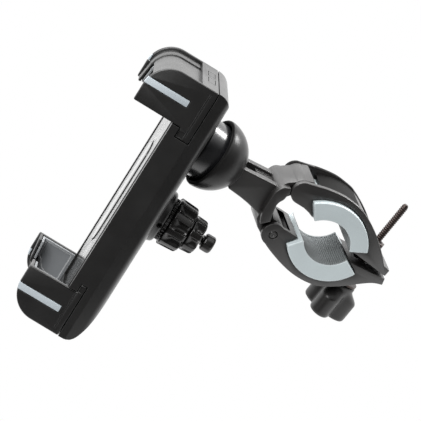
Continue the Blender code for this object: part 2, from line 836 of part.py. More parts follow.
def ball_stud():
    stud = join(
        ball(BALL, BALL_R, 24, 16),
        rod_x(11.0, BALL_X - 4, NECK_R, 24, z=BALL_Z),
        rod_x(10.6, 12.2, 4.4, 24, z=BALL_Z),
    )
    stud = cut(stud, rod_x(9.0, 19.0, 1.75, 14, z=BALL_Z))
    finish(stud, "ball_stud", CRADLE_FRAME, STEEL, BALL)


def stud_screw():
    place = (7.1, 0, BALL_Z)
    profile = [(0, 11.3), (1.45, 11.0), (1.45, -0.1), (3.0, -0.1), (3.0, -2.4), (0, -2.4)]
    screw = turned(profile, 14, frame=facing(*place))
    finish(screw, "stud_screw", CRADLE_FRAME, STEEL, place)


def slip_ring():
    """A ring that hugs the front of the ball inside the collar."""
    zone = sphere_profile(BALL_R + 0.25, 35, 80, 4, side=-1)
    zone += sphere_profile(BALL_R + 0.72, 80, 35, 4, side=-1)
    ring = turned(zone, 24, closed=True, frame=facing(*BALL))
    finish(ring, "slip_ring", CRADLE_FRAME, NYLON, BALL)


# =============================================================================
# Socket
# =============================================================================
def collar_nut():
    """The locking collar, with a seat round the ball and a skirt that enters the dome."""
    seat_r = BALL_R + 1.0
    skirt_r = 11.3
    opening = math.degrees(math.acos(COLLAR_OPENING / seat_r))
    profile = [
        (9.0, COLLAR_FRONT),
        (COLLAR_R - 1.0, COLLAR_FRONT),
        (COLLAR_R, COLLAR_FRONT + 1.0),
        (COLLAR_R, 0.5),
        (COLLAR_R - 0.4, 1.0),
        (skirt_r, 1.0),
        (skirt_r, SKIRT_END),
        (seat_r, SKIRT_END),
    ]
    profile += sphere_profile(seat_r, 90, opening, 6, side=-1)
    finish(turned(profile, 32, closed=True), "collar_nut", SOCKET_FRAME, COLLAR)


def collar_seal():
    seal = turned(polygon((12.75, 1.95), 0.62, 7), 28, closed=True)
    finish(seal, "collar_seal", SOCKET_FRAME, KNOB)


def seat_cup():
    """A cup between the ball and the dome."""
    zone = sphere_profile(BALL_R + 0.25, 14, 42, 4) + sphere_profile(BALL_R + 0.85, 42, 14, 4)
    finish(turned(zone, 24, closed=True), "seat_cup", SOCKET_FRAME, NYLON)


def dome():
    """The socket dome, hollow for the ball and the collar's skirt, turned to the clamp frame."""
    seat_r = BALL_R + 1.15
    skirt_r = 11.6
    shoulder = 2.8
    profile = sphere_profile(seat_r, 0, math.degrees(math.acos(DOME_FLOOR / seat_r)), 5)
    profile += [
        (skirt_r, DOME_FLOOR),
        (skirt_r, shoulder),
        (DOME_LIP_R, shoulder),
        (DOME_LIP_R, -0.2),
        (DOME_LIP_R + 0.35, -0.6),
        (15.35, -0.6),
        (15.95, -0.1),
    ]
    profile += sphere_profile(DOME_R, 86, 0, 14)
    return turned(profile, 40, frame=Matrix.Rotation(SOCKET_TURN, 4, "Y"))


# =============================================================================
# Swivel arm: outlines in (x, z) of the clamp frame
# =============================================================================
# cheek of the arm, from inside the dome to inside the clamp base
ARM_CHEEK = [
    (9.5, -2.2), (11.5, -4.0), (30.6, -16.0), (27.5, -20.0), (23.0, -28.5),
    (21.2, -29.6), (16.4, -23.4), (12.0, -18.8), (6.5, -13.9), (7.0, -10.0),
]
ARM_BLOCK = [(19.8, -10.8), (27.0, -15.4), (26.0, -24.0), (22.5, -29.0), (19.8, -26.0)]
BLOCK_GROOVE = [(18.0, -9.2), (28.0, -15.6), (28.0, -16.9), (18.0, -10.5)]
# full-width band of the clamp base: its edge towards the dome, then the one towards the bar
BASE_BAND = [
    (33.2, -14.3), (29.5, -13.6), (26.1, -15.7), (23.1, -20.3), (20.6, -25.4), (19.7, -30.3),
    (24.2, -29.6), (25.3, -25.8), (26.6, -22.4), (27.9, -20.7), (30.0, -19.4), (31.3, -17.9),
    (32.6, -16.6),
]
# narrower middle of the base, which carries both hinges
BASE_MIDDLE = (
    [(29.4, -13.7), (32.2, -12.6)]
    + arc(UPPER_PIVOT, 5.2, 118, 62, 5)
    + arc(UPPER_PIVOT, 6.5, 36, -4, 4)
    + arc(UPPER_PIVOT, 5.0, -32, -160, 7)
    + [(29.2, -20.2), (26.9, -22.6), (25.8, -26.0), (26.2, -29.6)]
    + arc(LOWER_PIVOT, KNUCKLE_R, 60, -130, 10)
    + [(19.0, -33.0), (18.7, -29.0), (20.6, -25.2), (23.2, -20.2), (26.2, -15.7)]
)


def socket_core():
    """What is cleared out of the arm before the dome is joined to it."""
    dip = math.radians(SOCKET_DIP)
    axis = Vector((math.cos(dip), 0, -math.sin(dip)))
    return keep(
        rod((0, 0, 0), axis * 40, 14.0, 32),
        ball((0, 0, 0), DOME_R - 1.2, 32, 20, pole=axis),
    )


def swivel_arm():
    left, right = [soften(plate(ARM_CHEEK, *span(y, ARM_Y, 3.9)), 0.5, 60) for y in (-1, 1)]
    block = plate(ARM_BLOCK, *both(4.3))
    for y in (-2.7, -0.9, 0.9, 2.7):
        block = cut(block, plate(BLOCK_GROOVE, y - 0.35, y + 0.35))
    base = soften(plate(BASE_BAND, *both(PLASTIC_Y)), 0.4, 50)
    # relief so that the lower arm's lobes can turn beside the middle
    base = cut(base, hinge_bore(LOWER_PIVOT, 5.6, 28))
    middle = cut(
        plate(BASE_MIDDLE, *both(MID_Y)),
        hinge_bore(UPPER_PIVOT, PIN_R + GAP),
        hinge_bore(LOWER_PIVOT, PIN_R + GAP),
    )
    arm = join(base, middle, block, left, right)
    arm = join(cut(arm, socket_core()), dome())
    finish(arm, "swivel_arm", CLAMP_FRAME, CLAMP)


# =============================================================================
# Clamp arms, rubbers and pins: outlines in (x, z) of the clamp frame
# =============================================================================
# outer edge of the upper arm, from the hinge to the hook
UPPER_BACK = [
    (49.9, -16.3), (56.5, -20.0), (60.9, -23.7), (64.6, -27.6), (67.8, -33.0),
    (70.2, -38.1), (71.7, -42.2), (73.2, -47.2), (74.2, -51.3),
]
UPPER_HOOK = [(74.9, -55.5), (77.4, -58.1), (75.3, -60.7)]
UPPER_LIP = [(61.6, -48.2), (59.6, -48.0), (59.4, -46.7), (66.8, -47.95)]
UPPER_HINGE_FOOT = [(42.35, -21.2), (42.7, -29.3), (41.0, -26.7), (38.7, -24.1)]
# outer edge of the lower arm, then its lip up to the start of the rubber's bed
LOWER_BACK = [
    (24.3, -43.7), (28.7, -49.8), (33.2, -54.9), (37.7, -58.7), (42.1, -61.4), (45.7, -62.9),
    (51.0, -63.7), (57.7, -63.9), (63.5, -63.4), (69.7, -63.5), (74.2, -64.8), (75.3, -61.9),
    (68.6, -58.1), (64.1, -55.3), (59.6, -52.4), (58.6, -50.6), (62.0, -57.2),
]
LOWER_SHELF = [(31.1, -40.1), (36.2, -38.3), (32.9, -35.6), (30.5, -33.9)]
LOWER_POCKET = [
    (31.2, -38.7), (33.3, -37.9), (33.5, -35.4), (30.6, -32.4),
    (29.7, -31.4), (29.7, -27.0), (17.5, -27.0),
]


def pivot_point(pivot):
    return (pivot[0], 0, pivot[1])


def upper_clamp_arm():
    """Two ribs, a floor between them, and the solid lip that holds the nut."""
    centre, radius = UPPER_OUTER
    bed = radius + GAP
    bed_start = angle_of(centre, (42.3, -21.0))
    bed_end = angle_of(centre, (66.9, -47.4))
    floor_start = angle_of(centre, (47.4, -20.0))
    rib_outline = (
        arc(UPPER_PIVOT, 5.3, 225, 75, 9)
        + [(43.7, -13.7)]
        + UPPER_BACK
        + UPPER_HOOK
        + UPPER_LIP
        + arc(centre, bed, bed_end, bed_start, 12)
        + UPPER_HINGE_FOOT
    )
    floor_outline = (
        arc(centre, bed + 2.2, floor_start, bed_end + 18, 10)
        + [(71.0, -41.6)]
        + UPPER_BACK[-2:]
        + UPPER_HOOK
        + UPPER_LIP
        + arc(centre, bed, bed_end, floor_start, 10)
    )
    ribs = [soften(plate(rib_outline, *span(y, PLASTIC_Y, RIB_Y)), 0.4, 40) for y in (-1, 1)]
    arm = join(plate(floor_outline, *both(RIB_Y + 0.4)), *ribs)
    bolt_slot = box((-3.6, 3.4), both(2.3), (-22, 12))
    nut_pocket = box(both(4.3), both(4.3), (-3.6, 14))
    arm = cut(
        arm,
        hinge_bore(UPPER_PIVOT, PIN_R + GAP, half_length=UPPER_PIN_Y + GAP),
        moved(bolt_slot, BOLT_FRAME),
        moved(nut_pocket, BOLT_FRAME),
    )
    finish(arm, "upper_clamp_arm", CLAMP_FRAME, CLAMP, pivot_point(UPPER_PIVOT))


def lower_clamp_arm():
    centre, radius = LOWER_OUTER
    outline = (
        arc(LOWER_PIVOT, 5.2, 30, 215, 10)
        + LOWER_BACK
        + clockwise(centre, radius + GAP, (61.5, -57.1), (31.2, -40.5), 12)
        + LOWER_SHELF
    )
    # room for the knuckle, and an open pocket in the shelf on its +X side
    room_r = KNUCKLE_R + 0.4
    room = (
        [(17.5, LOWER_PIVOT[1] - room_r)]
        + arc(LOWER_PIVOT, room_r, -90, -25, 10)
        + LOWER_POCKET
    )
    bolt_hole = box((-4.8, 5.2), both(2.3), (-40, 0))
    knob_seat = rod((0, 0, -40), (0, 0, SEAT_HEIGHT), 10.6, 32)
    arm = cut(
        soften(plate(outline, *both(PLASTIC_Y)), 0.4, 40),
        plate(room, *both(RIB_Y - 0.05)),
        hinge_bore(LOWER_PIVOT, PIN_R + GAP),
        moved(bolt_hole, BOLT_FRAME),
        moved(knob_seat, BOLT_FRAME),
    )
    finish(arm, "lower_clamp_arm", CLAMP_FRAME, CLAMP, pivot_point(LOWER_PIVOT))


def rubber(name, pivot, outer, outer_ends, inner, inner_ends):
    """A crescent between two circles, each swept between the bearings of two points."""
    outline = clockwise(*outer, *outer_ends, 16) + clockwise(*inner, *inner_ends, 14)[::-1]
    pad = soften(plate(outline, *both(RUBBER_Y)), 0.6, 50)
    finish(pad, name, CLAMP_FRAME, RUBBER, pivot_point(pivot))


def upper_rubber():
    rubber(
        "upper_rubber",
        UPPER_PIVOT,
        outer=UPPER_OUTER,
        outer_ends=((42.7, -21.0), (66.7, -47.2)),
        inner=UPPER_INNER,
        inner_ends=((43.0, -29.5), (58.7, -45.9)),
    )


def lower_rubber():
    rubber(
        "lower_rubber",
        LOWER_PIVOT,
        outer=LOWER_OUTER,
        outer_ends=((61.4, -57.3), (31.3, -40.6)),
        inner=LOWER_INNER,
        inner_ends=((57.6, -49.8), (38.6, -38.6)),
    )


def hinge_pin(name, pivot, end):
    """A pin along y with chamfered ends."""
    end_r, chamfer = 1.3, 0.4
    place = pivot_point(pivot)
    profile = [
        (0, end),
        (end_r, end),
        (PIN_R, end - chamfer),
        (PIN_R, chamfer - end),
        (end_r, -end),
        (0, -end),
    ]
    frame = Matrix.Translation(place) @ Matrix.Rotation(math.pi / 2, 4, "X")
    finish(turned(profile, 20, frame=frame), name, CLAMP_FRAME, KNOB, place)


# =============================================================================
# Clamp bolt and what sits on it
# =============================================================================
BOLT_SEAT = (
    BOLT_AT[0] + SEAT_HEIGHT * BOLT_DIR[0],
    0,
    BOLT_AT[1] + SEAT_HEIGHT * BOLT_DIR[1],
)


def clamp_bolt():
    """A threaded rod, its thread drawn as rings."""
    thread_start = BOLT_END - 1.2
    thread_end = thread_start - THREAD_RINGS * THREAD_PITCH
    shank_r = BOLT_R - 0.15
    tail = WING_BOTTOM + 3.0
    profile = [(0, BOLT_END), (1.2, BOLT_END), (BOLT_R, BOLT_END - 0.5)]
    for i in range(THREAD_RINGS):
        height = thread_start - i * THREAD_PITCH
        profile += [(BOLT_R - 0.3, height), (BOLT_R, height - THREAD_PITCH / 2)]
    profile += [(shank_r, thread_end), (shank_r, tail), (0, tail)]
    bolt = turned(profile, 14, frame=BOLT_FRAME)
    finish(bolt, "clamp_bolt", CLAMP_FRAME, DARK_STEEL, BOLT_SEAT)


def clamp_nut():
    nut = plate(polygon((0, 0), 4.1, 6), -3.3, -0.4, "Z", BOLT_FRAME)
    nut = cut(nut, moved(rod((0, 0, -8), (0, 0, 4), 2.35, 16), BOLT_FRAME))
    finish(nut, "clamp_nut", CLAMP_FRAME, DARK_STEEL, pivot_point(BOLT_AT))


def knob_washer():
    inner_r, outer_r = 2.2, 6.0
    bottom, top = SEAT_HEIGHT - 1.2, SEAT_HEIGHT - 0.3
    profile = [(inner_r, bottom), (outer_r, bottom), (outer_r, top), (inner_r, top)]
    washer = turned(profile, 24, closed=True, frame=BOLT_FRAME)
    finish(washer, "knob_washer", CLAMP_FRAME, STEEL, BOLT_SEAT)


def wing_knob():
    """A three-lobed knob that narrows to a hub towards the washer."""
    outline = fluted(WING_R, WING_R - HUB_R + 0.5, 3, 66)
    envelope = [
        (0, WING_TOP + OVERSHOOT),
        (HUB_R - 0.4, WING_TOP + OVERSHOOT),
        (HUB_R, WING_TOP - 0.8),
        (HUB_R + 0.3, WING_TOP - 2.4),
        (HUB_R + 2.8, WING_TOP - 4.6),
        (WING_R + 0.2, WING_TOP - 7.2),
        (WING_R + 0.2, WING_BOTTOM + 2.0),
        (WING_R - 1.2, WING_BOTTOM - OVERSHOOT),
        (0, WING_BOTTOM - OVERSHOOT),
    ]
    bore = rod((0, 0, WING_BOTTOM + 2.6), (0, 0, WING_TOP + 1), BOLT_R + 0.3, 16)
    wing = plate(outline, WING_BOTTOM, WING_TOP, "Z", BOLT_FRAME)
    wing = keep(wing, turned(envelope, 36, frame=BOLT_FRAME))
    wing = cut(wing, moved(bore, BOLT_FRAME))
    finish(wing, "wing_knob", CLAMP_FRAME, KNOB, BOLT_SEAT)


# =============================================================================
# Build
# =============================================================================
rear_housing()
front_plate()
grip_pad()
for each_jaw in (TOP_JAW, BOTTOM_JAW):
    jaw_piece(each_jaw)
    rack(each_jaw)
    for y_side, y_tag in ((-1, "near"), (1, "far")):
        liner(each_jaw, y_side, y_tag)
        stripe(each_jaw, y_side, y_tag)

drive_pinion()
ratchet_ring()
adjust_knob()
lock_knob()
knob_tip()
cover_screws()
ball_stud()
stud_screw()
slip_ring()

collar_nut()
collar_seal()
seat_cup()

swivel_arm()
upper_clamp_arm()
lower_clamp_arm()
upper_rubber()
lower_rubber()
hinge_pin("upper_hinge_pin", UPPER_PIVOT, UPPER_PIN_Y)
hinge_pin("lower_hinge_pin", LOWER_PIVOT, LOWER_PIN_Y)
clamp_bolt()
clamp_nut()
knob_washer()
wing_knob()
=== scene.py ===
"""Looks for a bicycle phone mount: a phone cradle with two sliding jaws, on a ball
joint carried by an arm that clamps round a handlebar.

Shapes are modelled in millimetres in three local frames, then placed in metres:
  CRADLE  x from the phone side back to the knobs, y across, z up towards the top jaw
  SOCKET  origin at the ball centre, z along the swivel axis
  CLAMP   origin at the ball centre, world axes; the handlebar lies along y
"Near" pieces lie at negative y and "far" pieces at positive y.
"""

import json
import math
from contextlib import contextmanager

import bmesh
import bpy
from mathutils import Matrix, Vector

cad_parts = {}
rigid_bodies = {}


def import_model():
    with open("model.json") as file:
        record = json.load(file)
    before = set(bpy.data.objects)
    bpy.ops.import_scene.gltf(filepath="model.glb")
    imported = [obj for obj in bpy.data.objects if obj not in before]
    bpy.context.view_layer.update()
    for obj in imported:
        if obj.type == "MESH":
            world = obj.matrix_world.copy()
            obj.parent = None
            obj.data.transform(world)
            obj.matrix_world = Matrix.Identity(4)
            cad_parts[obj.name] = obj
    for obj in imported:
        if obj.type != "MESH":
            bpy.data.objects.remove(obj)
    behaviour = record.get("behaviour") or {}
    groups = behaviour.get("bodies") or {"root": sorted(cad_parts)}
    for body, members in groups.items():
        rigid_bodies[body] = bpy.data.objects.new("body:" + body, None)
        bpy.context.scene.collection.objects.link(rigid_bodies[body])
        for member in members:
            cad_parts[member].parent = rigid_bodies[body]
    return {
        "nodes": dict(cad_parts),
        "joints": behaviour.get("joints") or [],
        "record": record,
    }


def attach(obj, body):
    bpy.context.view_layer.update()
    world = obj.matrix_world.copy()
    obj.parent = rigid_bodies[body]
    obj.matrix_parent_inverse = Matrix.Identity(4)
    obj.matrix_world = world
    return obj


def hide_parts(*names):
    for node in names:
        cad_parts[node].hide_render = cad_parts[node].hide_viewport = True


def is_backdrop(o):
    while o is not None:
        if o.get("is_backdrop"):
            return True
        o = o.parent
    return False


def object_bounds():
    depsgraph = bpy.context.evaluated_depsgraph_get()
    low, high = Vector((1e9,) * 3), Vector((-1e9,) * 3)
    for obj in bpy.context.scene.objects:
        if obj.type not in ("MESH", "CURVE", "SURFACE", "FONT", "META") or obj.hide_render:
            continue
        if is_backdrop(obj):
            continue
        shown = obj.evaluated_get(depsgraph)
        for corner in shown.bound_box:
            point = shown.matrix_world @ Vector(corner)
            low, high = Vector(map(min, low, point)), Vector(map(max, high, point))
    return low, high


for old in list(bpy.data.objects):
    bpy.data.objects.remove(old, do_unlink=True)

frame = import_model()
low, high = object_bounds()

JOINT = {joint["name"]: joint for joint in frame["joints"]}
NODES = frame["nodes"]
SLOT_OF = {part["node"]: part["material_slot"] for part in frame["record"]["subparts"]}
BODY_OF = {
    node: body
    for body, members in frame["record"]["behaviour"]["bodies"].items()
    for node in members
}

# ---------------------------------------------------------------- local frames
MILLI = 0.001  # metres in a millimetre


def joint_place(name):
    return Vector(JOINT[name]["pos_m"])


def joint_axis(name):
    return Vector(JOINT[name]["axis"]).normalized()


def basis(x, y, z, origin=(0, 0, 0)):
    """A matrix whose columns are the three axes and the origin."""
    matrix = Matrix.Identity(4)
    for column, axis in enumerate((x, y, z)):
        for row in range(3):
            matrix[row][column] = axis[row]
    matrix.translation = Vector(origin)
    return matrix


BALL_AT = joint_place("ball_swivel")
SOCKET_AXIS = joint_axis("ball_swivel")
BOLT_AXIS = -joint_axis("bolt_back_off")
CRADLE_X = joint_axis("cradle_pan")
CRADLE_Z = joint_axis("top_jaw_slide")
CRADLE_Y = CRADLE_Z.cross(CRADLE_X).normalized()
SOCKET_Y = Vector((0, 1, 0))
SOCKET_X = SOCKET_Y.cross(SOCKET_AXIS).normalized()

SCALE = Matrix.Scale(MILLI, 4)
CRADLE = basis(CRADLE_X, CRADLE_Y, CRADLE_Z) @ SCALE
CLAMP = Matrix.Translation(BALL_AT) @ SCALE
SOCKET = basis(SOCKET_X, SOCKET_Y, SOCKET_AXIS, BALL_AT) @ SCALE


def in_clamp(joint):
    """A joint's (x, z) in the clamp frame."""
    place = (joint_place(joint) - BALL_AT) / MILLI
    return (place.x, place.z)


ball_place = CRADLE.inverted() @ BALL_AT
BALL_X, BALL_Z = ball_place.x, ball_place.z
BALL = (BALL_X, 0.0, BALL_Z)
KNOB_Z = (CRADLE.inverted() @ joint_place("knob_turn")).z
BALL_YZ = (0, BALL_Z)
KNOB_YZ = (0, KNOB_Z)
UPPER_PIVOT = in_clamp("upper_arm_open")
LOWER_PIVOT = in_clamp("lower_arm_open")
BOLT_AT = in_clamp("wing_turn")

# z along the clamp bolt, in the clamp frame
BOLT_FRAME = Matrix(
    (
        (BOLT_AXIS.z, 0, BOLT_AXIS.x, BOLT_AT[0]),
        (0, 1, 0, 0),
        (-BOLT_AXIS.x, 0, BOLT_AXIS.z, BOLT_AT[1]),
        (0, 0, 0, 1),
    )
)
# z along the knob shaft, towards the cradle's +x
KNOB_FRAME = Matrix.Translation((0, 0, KNOB_Z)) @ Matrix.Rotation(math.pi / 2, 4, "Y")

# ---------------------------------------------------------------- shared sizes, mm
GAP = 0.3  # clearance between neighbouring pieces

# cradle outline
HALF_W = 30.75
HALF_L = 61.2
REAR_X = 18.0
SIDE_X = 10.3
LIP_X = -18.4  # front edge of the jaws
JAW_EDGE = 41.0  # where a jaw's cheeks end, nearest the cradle's middle
FOOT_X = 4.2  # behind this the cheek reaches further, to the foot
CHEEK_T = 2.2
CLAW_Y = 18.0  # inner edge of the claws
TOP_SPLIT = 10.5  # x of the parting between jaw and housing
BOTTOM_SPLIT = 6.9
# columns: name, side, x of the parting, z of the foot
JAWS = (("top", 1, TOP_SPLIT, 36.6), ("bottom", -1, BOTTOM_SPLIT, 37.1))

# jaw corner: a quarter ellipse about CORNER
CORNER = (-6.5, 48.5)
CORNER_X = CORNER[0] - LIP_X
CORNER_Z = HALF_L - 0.1 - CORNER[1]

# insets from the jaw's outline
RIM_IN = 1.5
MID_IN = 2.1
WALL = 2.2
LINER_IN = MID_IN + WALL + 0.35
MID_Z = 50.8  # the middle wall starts here

# rack, and the openings that clear its tongues
GEAR_X0, GEAR_X1 = 4.3, 7.1
RACK_Y0, RACK_Y1 = 4.4, 14.2

SCREWS = [(y, z) for y in (-20.0, 20.0) for z in (-31.0, 31.0)]

# knobs on the shaft: radius and the two ends in x
BOSS_R, BOSS_X = 12.0, 22.0
RING_R, RING_X0, RING_X1 = 9.9, 22.3, 23.7
KNOB_R, KNOB_X0, KNOB_X1 = 11.2, 24.0, 33.2
LOCK_R, LOCK_X0, LOCK_X1 = 8.3, 33.6, 39.5
TIP_R, TIP_X0, TIP_X1 = 4.0, 41.0, 45.9
KNOB_BORE = 2.4
SHAFT_R = 2.1
SHAFT_HOLE_R = SHAFT_R + 0.35

# ball joint
BALL_R = 8.0
DISH_R = 16.2
DISH_FLOOR = 10.3
COLLAR_R = 13.4
COLLAR_FRONT = -9.0
DOME_R = 16.2
LIP_R = 14.2

# clamp: half widths in y
PLASTIC_Y = 11.0
MID_Y = 8.3
RIB_Y = 8.7
RUBBER_Y = 13.4
ARM_Y = 7.75

KNUCKLE_R = 5.2
PIN_R = 1.75
UPPER_PIN_END, LOWER_PIN_END = 10.1, 11.0
# faces of the rubbers: centre (x, z) and radius
UPPER_OUTER = ((44.3, -43.6), 22.7)
UPPER_INNER = ((45.8, -42.6), 13.2)
LOWER_OUTER = ((51.6, -39.5), 20.3)
LOWER_INNER = ((51.3, -39.0), 12.7)

# clamp bolt and wing knob, heights along the bolt
BOLT_R = 1.6
BOLT_END = 20.2
SEAT_HEIGHT = -23.0
WING_TOP, WING_BOTTOM = -24.6, -41.3
WING_R, HUB_R = 11.7, 6.4


# ---------------------------------------------------------------- mesh helpers
def temp(name, mesh):
    obj = bpy.data.objects.new(name, mesh)
    bpy.context.scene.collection.objects.link(obj)
    return obj


def from_bmesh(shape):
    bmesh.ops.recalc_face_normals(shape, faces=shape.faces)
    mesh = bpy.data.meshes.new("piece")
    shape.to_mesh(mesh)
    shape.free()
    return temp("piece", mesh)


@contextmanager
def editing(mesh):
    shape = bmesh.new()
    shape.from_mesh(mesh)
    yield shape
    shape.to_mesh(mesh)
    shape.free()


def evaluated_copy(obj):
    """Swap an object for one with its modifiers applied."""
    graph = bpy.context.evaluated_depsgraph_get()
    graph.update()
    mesh = bpy.data.meshes.new_from_object(obj.evaluated_get(graph))
    bpy.data.objects.remove(obj, do_unlink=True)
    return temp("piece", mesh)


def move(obj, matrix):
    obj.data.transform(matrix)
    return obj


def box(corner, opposite):
    """A box between two opposite corners, given in any order."""
    lows = [min(pair) for pair in zip(corner, opposite)]
    highs = [max(pair) for pair in zip(corner, opposite)]
    size = [b - a for a, b in zip(lows, highs)]
    middle = [(b + a) / 2 for a, b in zip(lows, highs)]
    shape = bmesh.new()
    bmesh.ops.create_cube(shape, size=1.0)
    bmesh.ops.scale(shape, vec=size, verts=shape.verts)
    bmesh.ops.translate(shape, vec=middle, verts=shape.verts)
    return from_bmesh(shape)


def rod(start, end, radius, segments, end_radius=None):
    start, end = Vector(start), Vector(end)
    axis = end - start
    shape = bmesh.new()
    bmesh.ops.create_cone(
        shape,
        cap_ends=True,
        segments=segments,
        radius1=radius,
        radius2=radius if end_radius is None else end_radius,
        depth=axis.length,
    )
    turn = axis.to_track_quat("Z", "Y").to_matrix().to_4x4()
    place = Matrix.Translation((start + end) / 2) @ turn
    bmesh.ops.transform(shape, matrix=place, verts=shape.verts)
    return from_bmesh(shape)


def rod_x(start, end, centre, radius, segments, end_radius=None):
    """A rod along x about the (y, z) centre."""
    return rod((start, *centre), (end, *centre), radius, segments, end_radius)


def rod_y(half_length, centre, radius, segments):
    """A rod along y about the (x, z) centre."""
    x, z = centre
    return rod((x, -half_length, z), (x, half_length, z), radius, segments)


def ball(centre, radius, around, rows, pole):
    shape = bmesh.new()
    bmesh.ops.create_uvsphere(shape, u_segments=around, v_segments=rows, radius=radius)
    turn = Vector(pole).to_track_quat("Z", "Y").to_matrix().to_4x4()
    place = Matrix.Translation(Vector(centre)) @ turn
    bmesh.ops.transform(shape, matrix=place, verts=shape.verts)
    return from_bmesh(shape)


# how an outline drawn in x, y lies for each direction it can be extruded along
LAY = {
    "X": Matrix(((0, 0, 1, 0), (1, 0, 0, 0), (0, 1, 0, 0), (0, 0, 0, 1))),
    "Y": Matrix(((1, 0, 0, 0), (0, 0, -1, 0), (0, 1, 0, 0), (0, 0, 0, 1))),
    "Z": Matrix.Identity(4),
}


def plate(outline, start, end, along="Y", place=Matrix.Identity(4)):
    """An outline extruded between two levels, given in any order."""
    start, end = sorted((start, end))
    curve = bpy.data.curves.new("outline", "CURVE")
    curve.dimensions = "2D"
    curve.fill_mode = "BOTH"
    curve.extrude = (end - start) / 2
    spline = curve.splines.new("POLY")
    spline.points.add(len(outline) - 1)
    for point, (across, up) in zip(spline.points, outline):
        point.co = (across, up, 0.0, 1.0)
    spline.use_cyclic_u = True
    flat = temp("piece", curve)
    bpy.context.view_layer.update()
    solid = evaluated_copy(flat)
    middle = (end + start) / 2
    shift = Matrix.Translation([middle if axis == along else 0 for axis in "XYZ"])
    with editing(solid.data) as shape:
        bmesh.ops.remove_doubles(shape, verts=shape.verts, dist=1e-4)
        bmesh.ops.transform(shape, matrix=place @ shift @ LAY[along], verts=shape.verts)
        bmesh.ops.recalc_face_normals(shape, faces=shape.faces)
    return solid


def ring(shape, height, radii):
    """Vertices spaced evenly round z, one for each radius."""
    count = len(radii)
    return [
        shape.verts.new(
            (
                radius * math.cos(2 * math.pi * k / count),
                radius * math.sin(2 * math.pi * k / count),
                height,
            )
        )
        for k, radius in enumerate(radii)
    ]


def loft(shape, rings, caps=False):
    """Quads between each ring and the next."""
    for first, second in zip(rings, rings[1:]):
        for k in range(len(first)):
            n = (k + 1) % len(first)
            shape.faces.new((first[k], first[n], second[n], second[k]))
    if caps:
        shape.faces.new(rings[0][::-1])
        shape.faces.new(rings[-1])


def turned(profile, steps, closed=False):
    """A profile of (radius, height) swept round +z."""
    shape = bmesh.new()
    rings = [
        [shape.verts.new((0, 0, height))] if radius < 1e-6 else ring(shape, height, [radius] * steps)
        for radius, height in profile
    ]
    pairs = list(zip(rings, rings[1:]))
    if closed:
        pairs.append((rings[-1], rings[0]))
    for first, second in pairs:
        for k in range(steps):
            n = (k + 1) % steps
            if len(first) == 1:
                shape.faces.new((first[0], second[n], second[k]))
            elif len(second) == 1:
                shape.faces.new((first[k], first[n], second[0]))
            else:
                shape.faces.new((first[k], first[n], second[n], second[k]))
    return from_bmesh(shape)


def boolean(target, tool, operation):
    modifier = target.modifiers.new(operation.lower(), "BOOLEAN")
    modifier.operation = operation
    modifier.solver = "EXACT"
    modifier.object = tool
    bpy.context.view_layer.update()
    target = evaluated_copy(target)
    bpy.data.objects.remove(tool, do_unlink=True)
    return target


def cut(target, *tools):
    for tool in tools:
        target = boolean(target, tool, "DIFFERENCE")
    return target


def join(target, *tools):
    for tool in tools:
        target = boolean(target, tool, "UNION")
    return target


def keep(target, tool):
    return boolean(target, tool, "INTERSECT")


def soften(obj, width, segments, angle):
    """Bevel the edges sharper than an angle in degrees."""
    with editing(obj.data) as shape:
        bmesh.ops.remove_doubles(shape, verts=shape.verts, dist=1e-4)
        bmesh.ops.dissolve_limit(
            shape, angle_limit=math.radians(0.5), verts=shape.verts, edges=shape.edges
        )
    bevel = obj.modifiers.new("edge", "BEVEL")
    bevel.width = width
    bevel.segments = segments
    bevel.limit_method = "ANGLE"
    bevel.angle_limit = math.radians(angle)
    bpy.context.view_layer.update()
    return evaluated_copy(obj)


# ---------------------------------------------------------------- outline helpers
def on_circle(centre, radius, degrees):
    angle = math.radians(degrees)
    return (centre[0] + radius * math.cos(angle), centre[1] + radius * math.sin(angle))


def arc(centre, radius, start, end, steps):
    return [
        on_circle(centre, radius, start + (end - start) * i / steps) for i in range(steps + 1)
    ]


def angle_of(centre, point):
    return math.degrees(math.atan2(point[1] - centre[1], point[0] - centre[0]))


def shoulder(radius, height, inset, drop, steps):
    """A quarter ellipse in (radius, height), from the flat end out to the side."""
    angles = [math.radians(90 * i / steps) for i in range(steps + 1)]
    return [
        (radius - inset + inset * math.sin(a), height - drop + drop * math.cos(a)) for a in angles
    ]


def smooth_path(points, steps):
    """A Catmull-Rom curve through the points, open at both ends."""
    path = []
    for i in range(len(points) - 1):
        before, start, end = points[max(i - 1, 0)], points[i], points[i + 1]
        after = points[min(i + 2, len(points) - 1)]
        for k in range(steps):
            t = k / steps
            path.append(
                tuple(
                    0.5
                    * (
                        2 * b
                        + (c - a) * t
                        + (2 * a - 5 * b + 4 * c - d) * t * t
                        + (3 * b - a - 3 * c + d) * t**3
                    )
                    for a, b, c, d in zip(before, start, end, after)
                )
            )
    path.append(points[-1])
    return path


def smoothstep(value):
    value = min(max(value, 0.0), 1.0)
    return value * value * (3 - 2 * value)


def rounding(share, depth):
    """How far a rounded edge has shrunk, at a share of the way to its end."""
    return depth * (1 - math.sqrt(max(1 - share * share, 0.0)))


# ---------------------------------------------------------------- shader helpers
def shader(name):
    mat = bpy.data.materials.new(name)
    mat.use_nodes = True
    tree = mat.node_tree
    return mat, tree, tree.nodes["Principled BSDF"]


def feed(tree, socket, value):
    """Link a socket's value, or set a colour or a number."""
    if isinstance(value, bpy.types.NodeSocket):
        tree.links.new(value, socket)
    elif isinstance(value, tuple):
        socket.default_value = (*value, 1.0)
    else:
        socket.default_value = value


def add(tree, kind, **inputs):
    node = tree.nodes.new(kind)
    for key, value in inputs.items():
        node.inputs[key].default_value = value
    return node


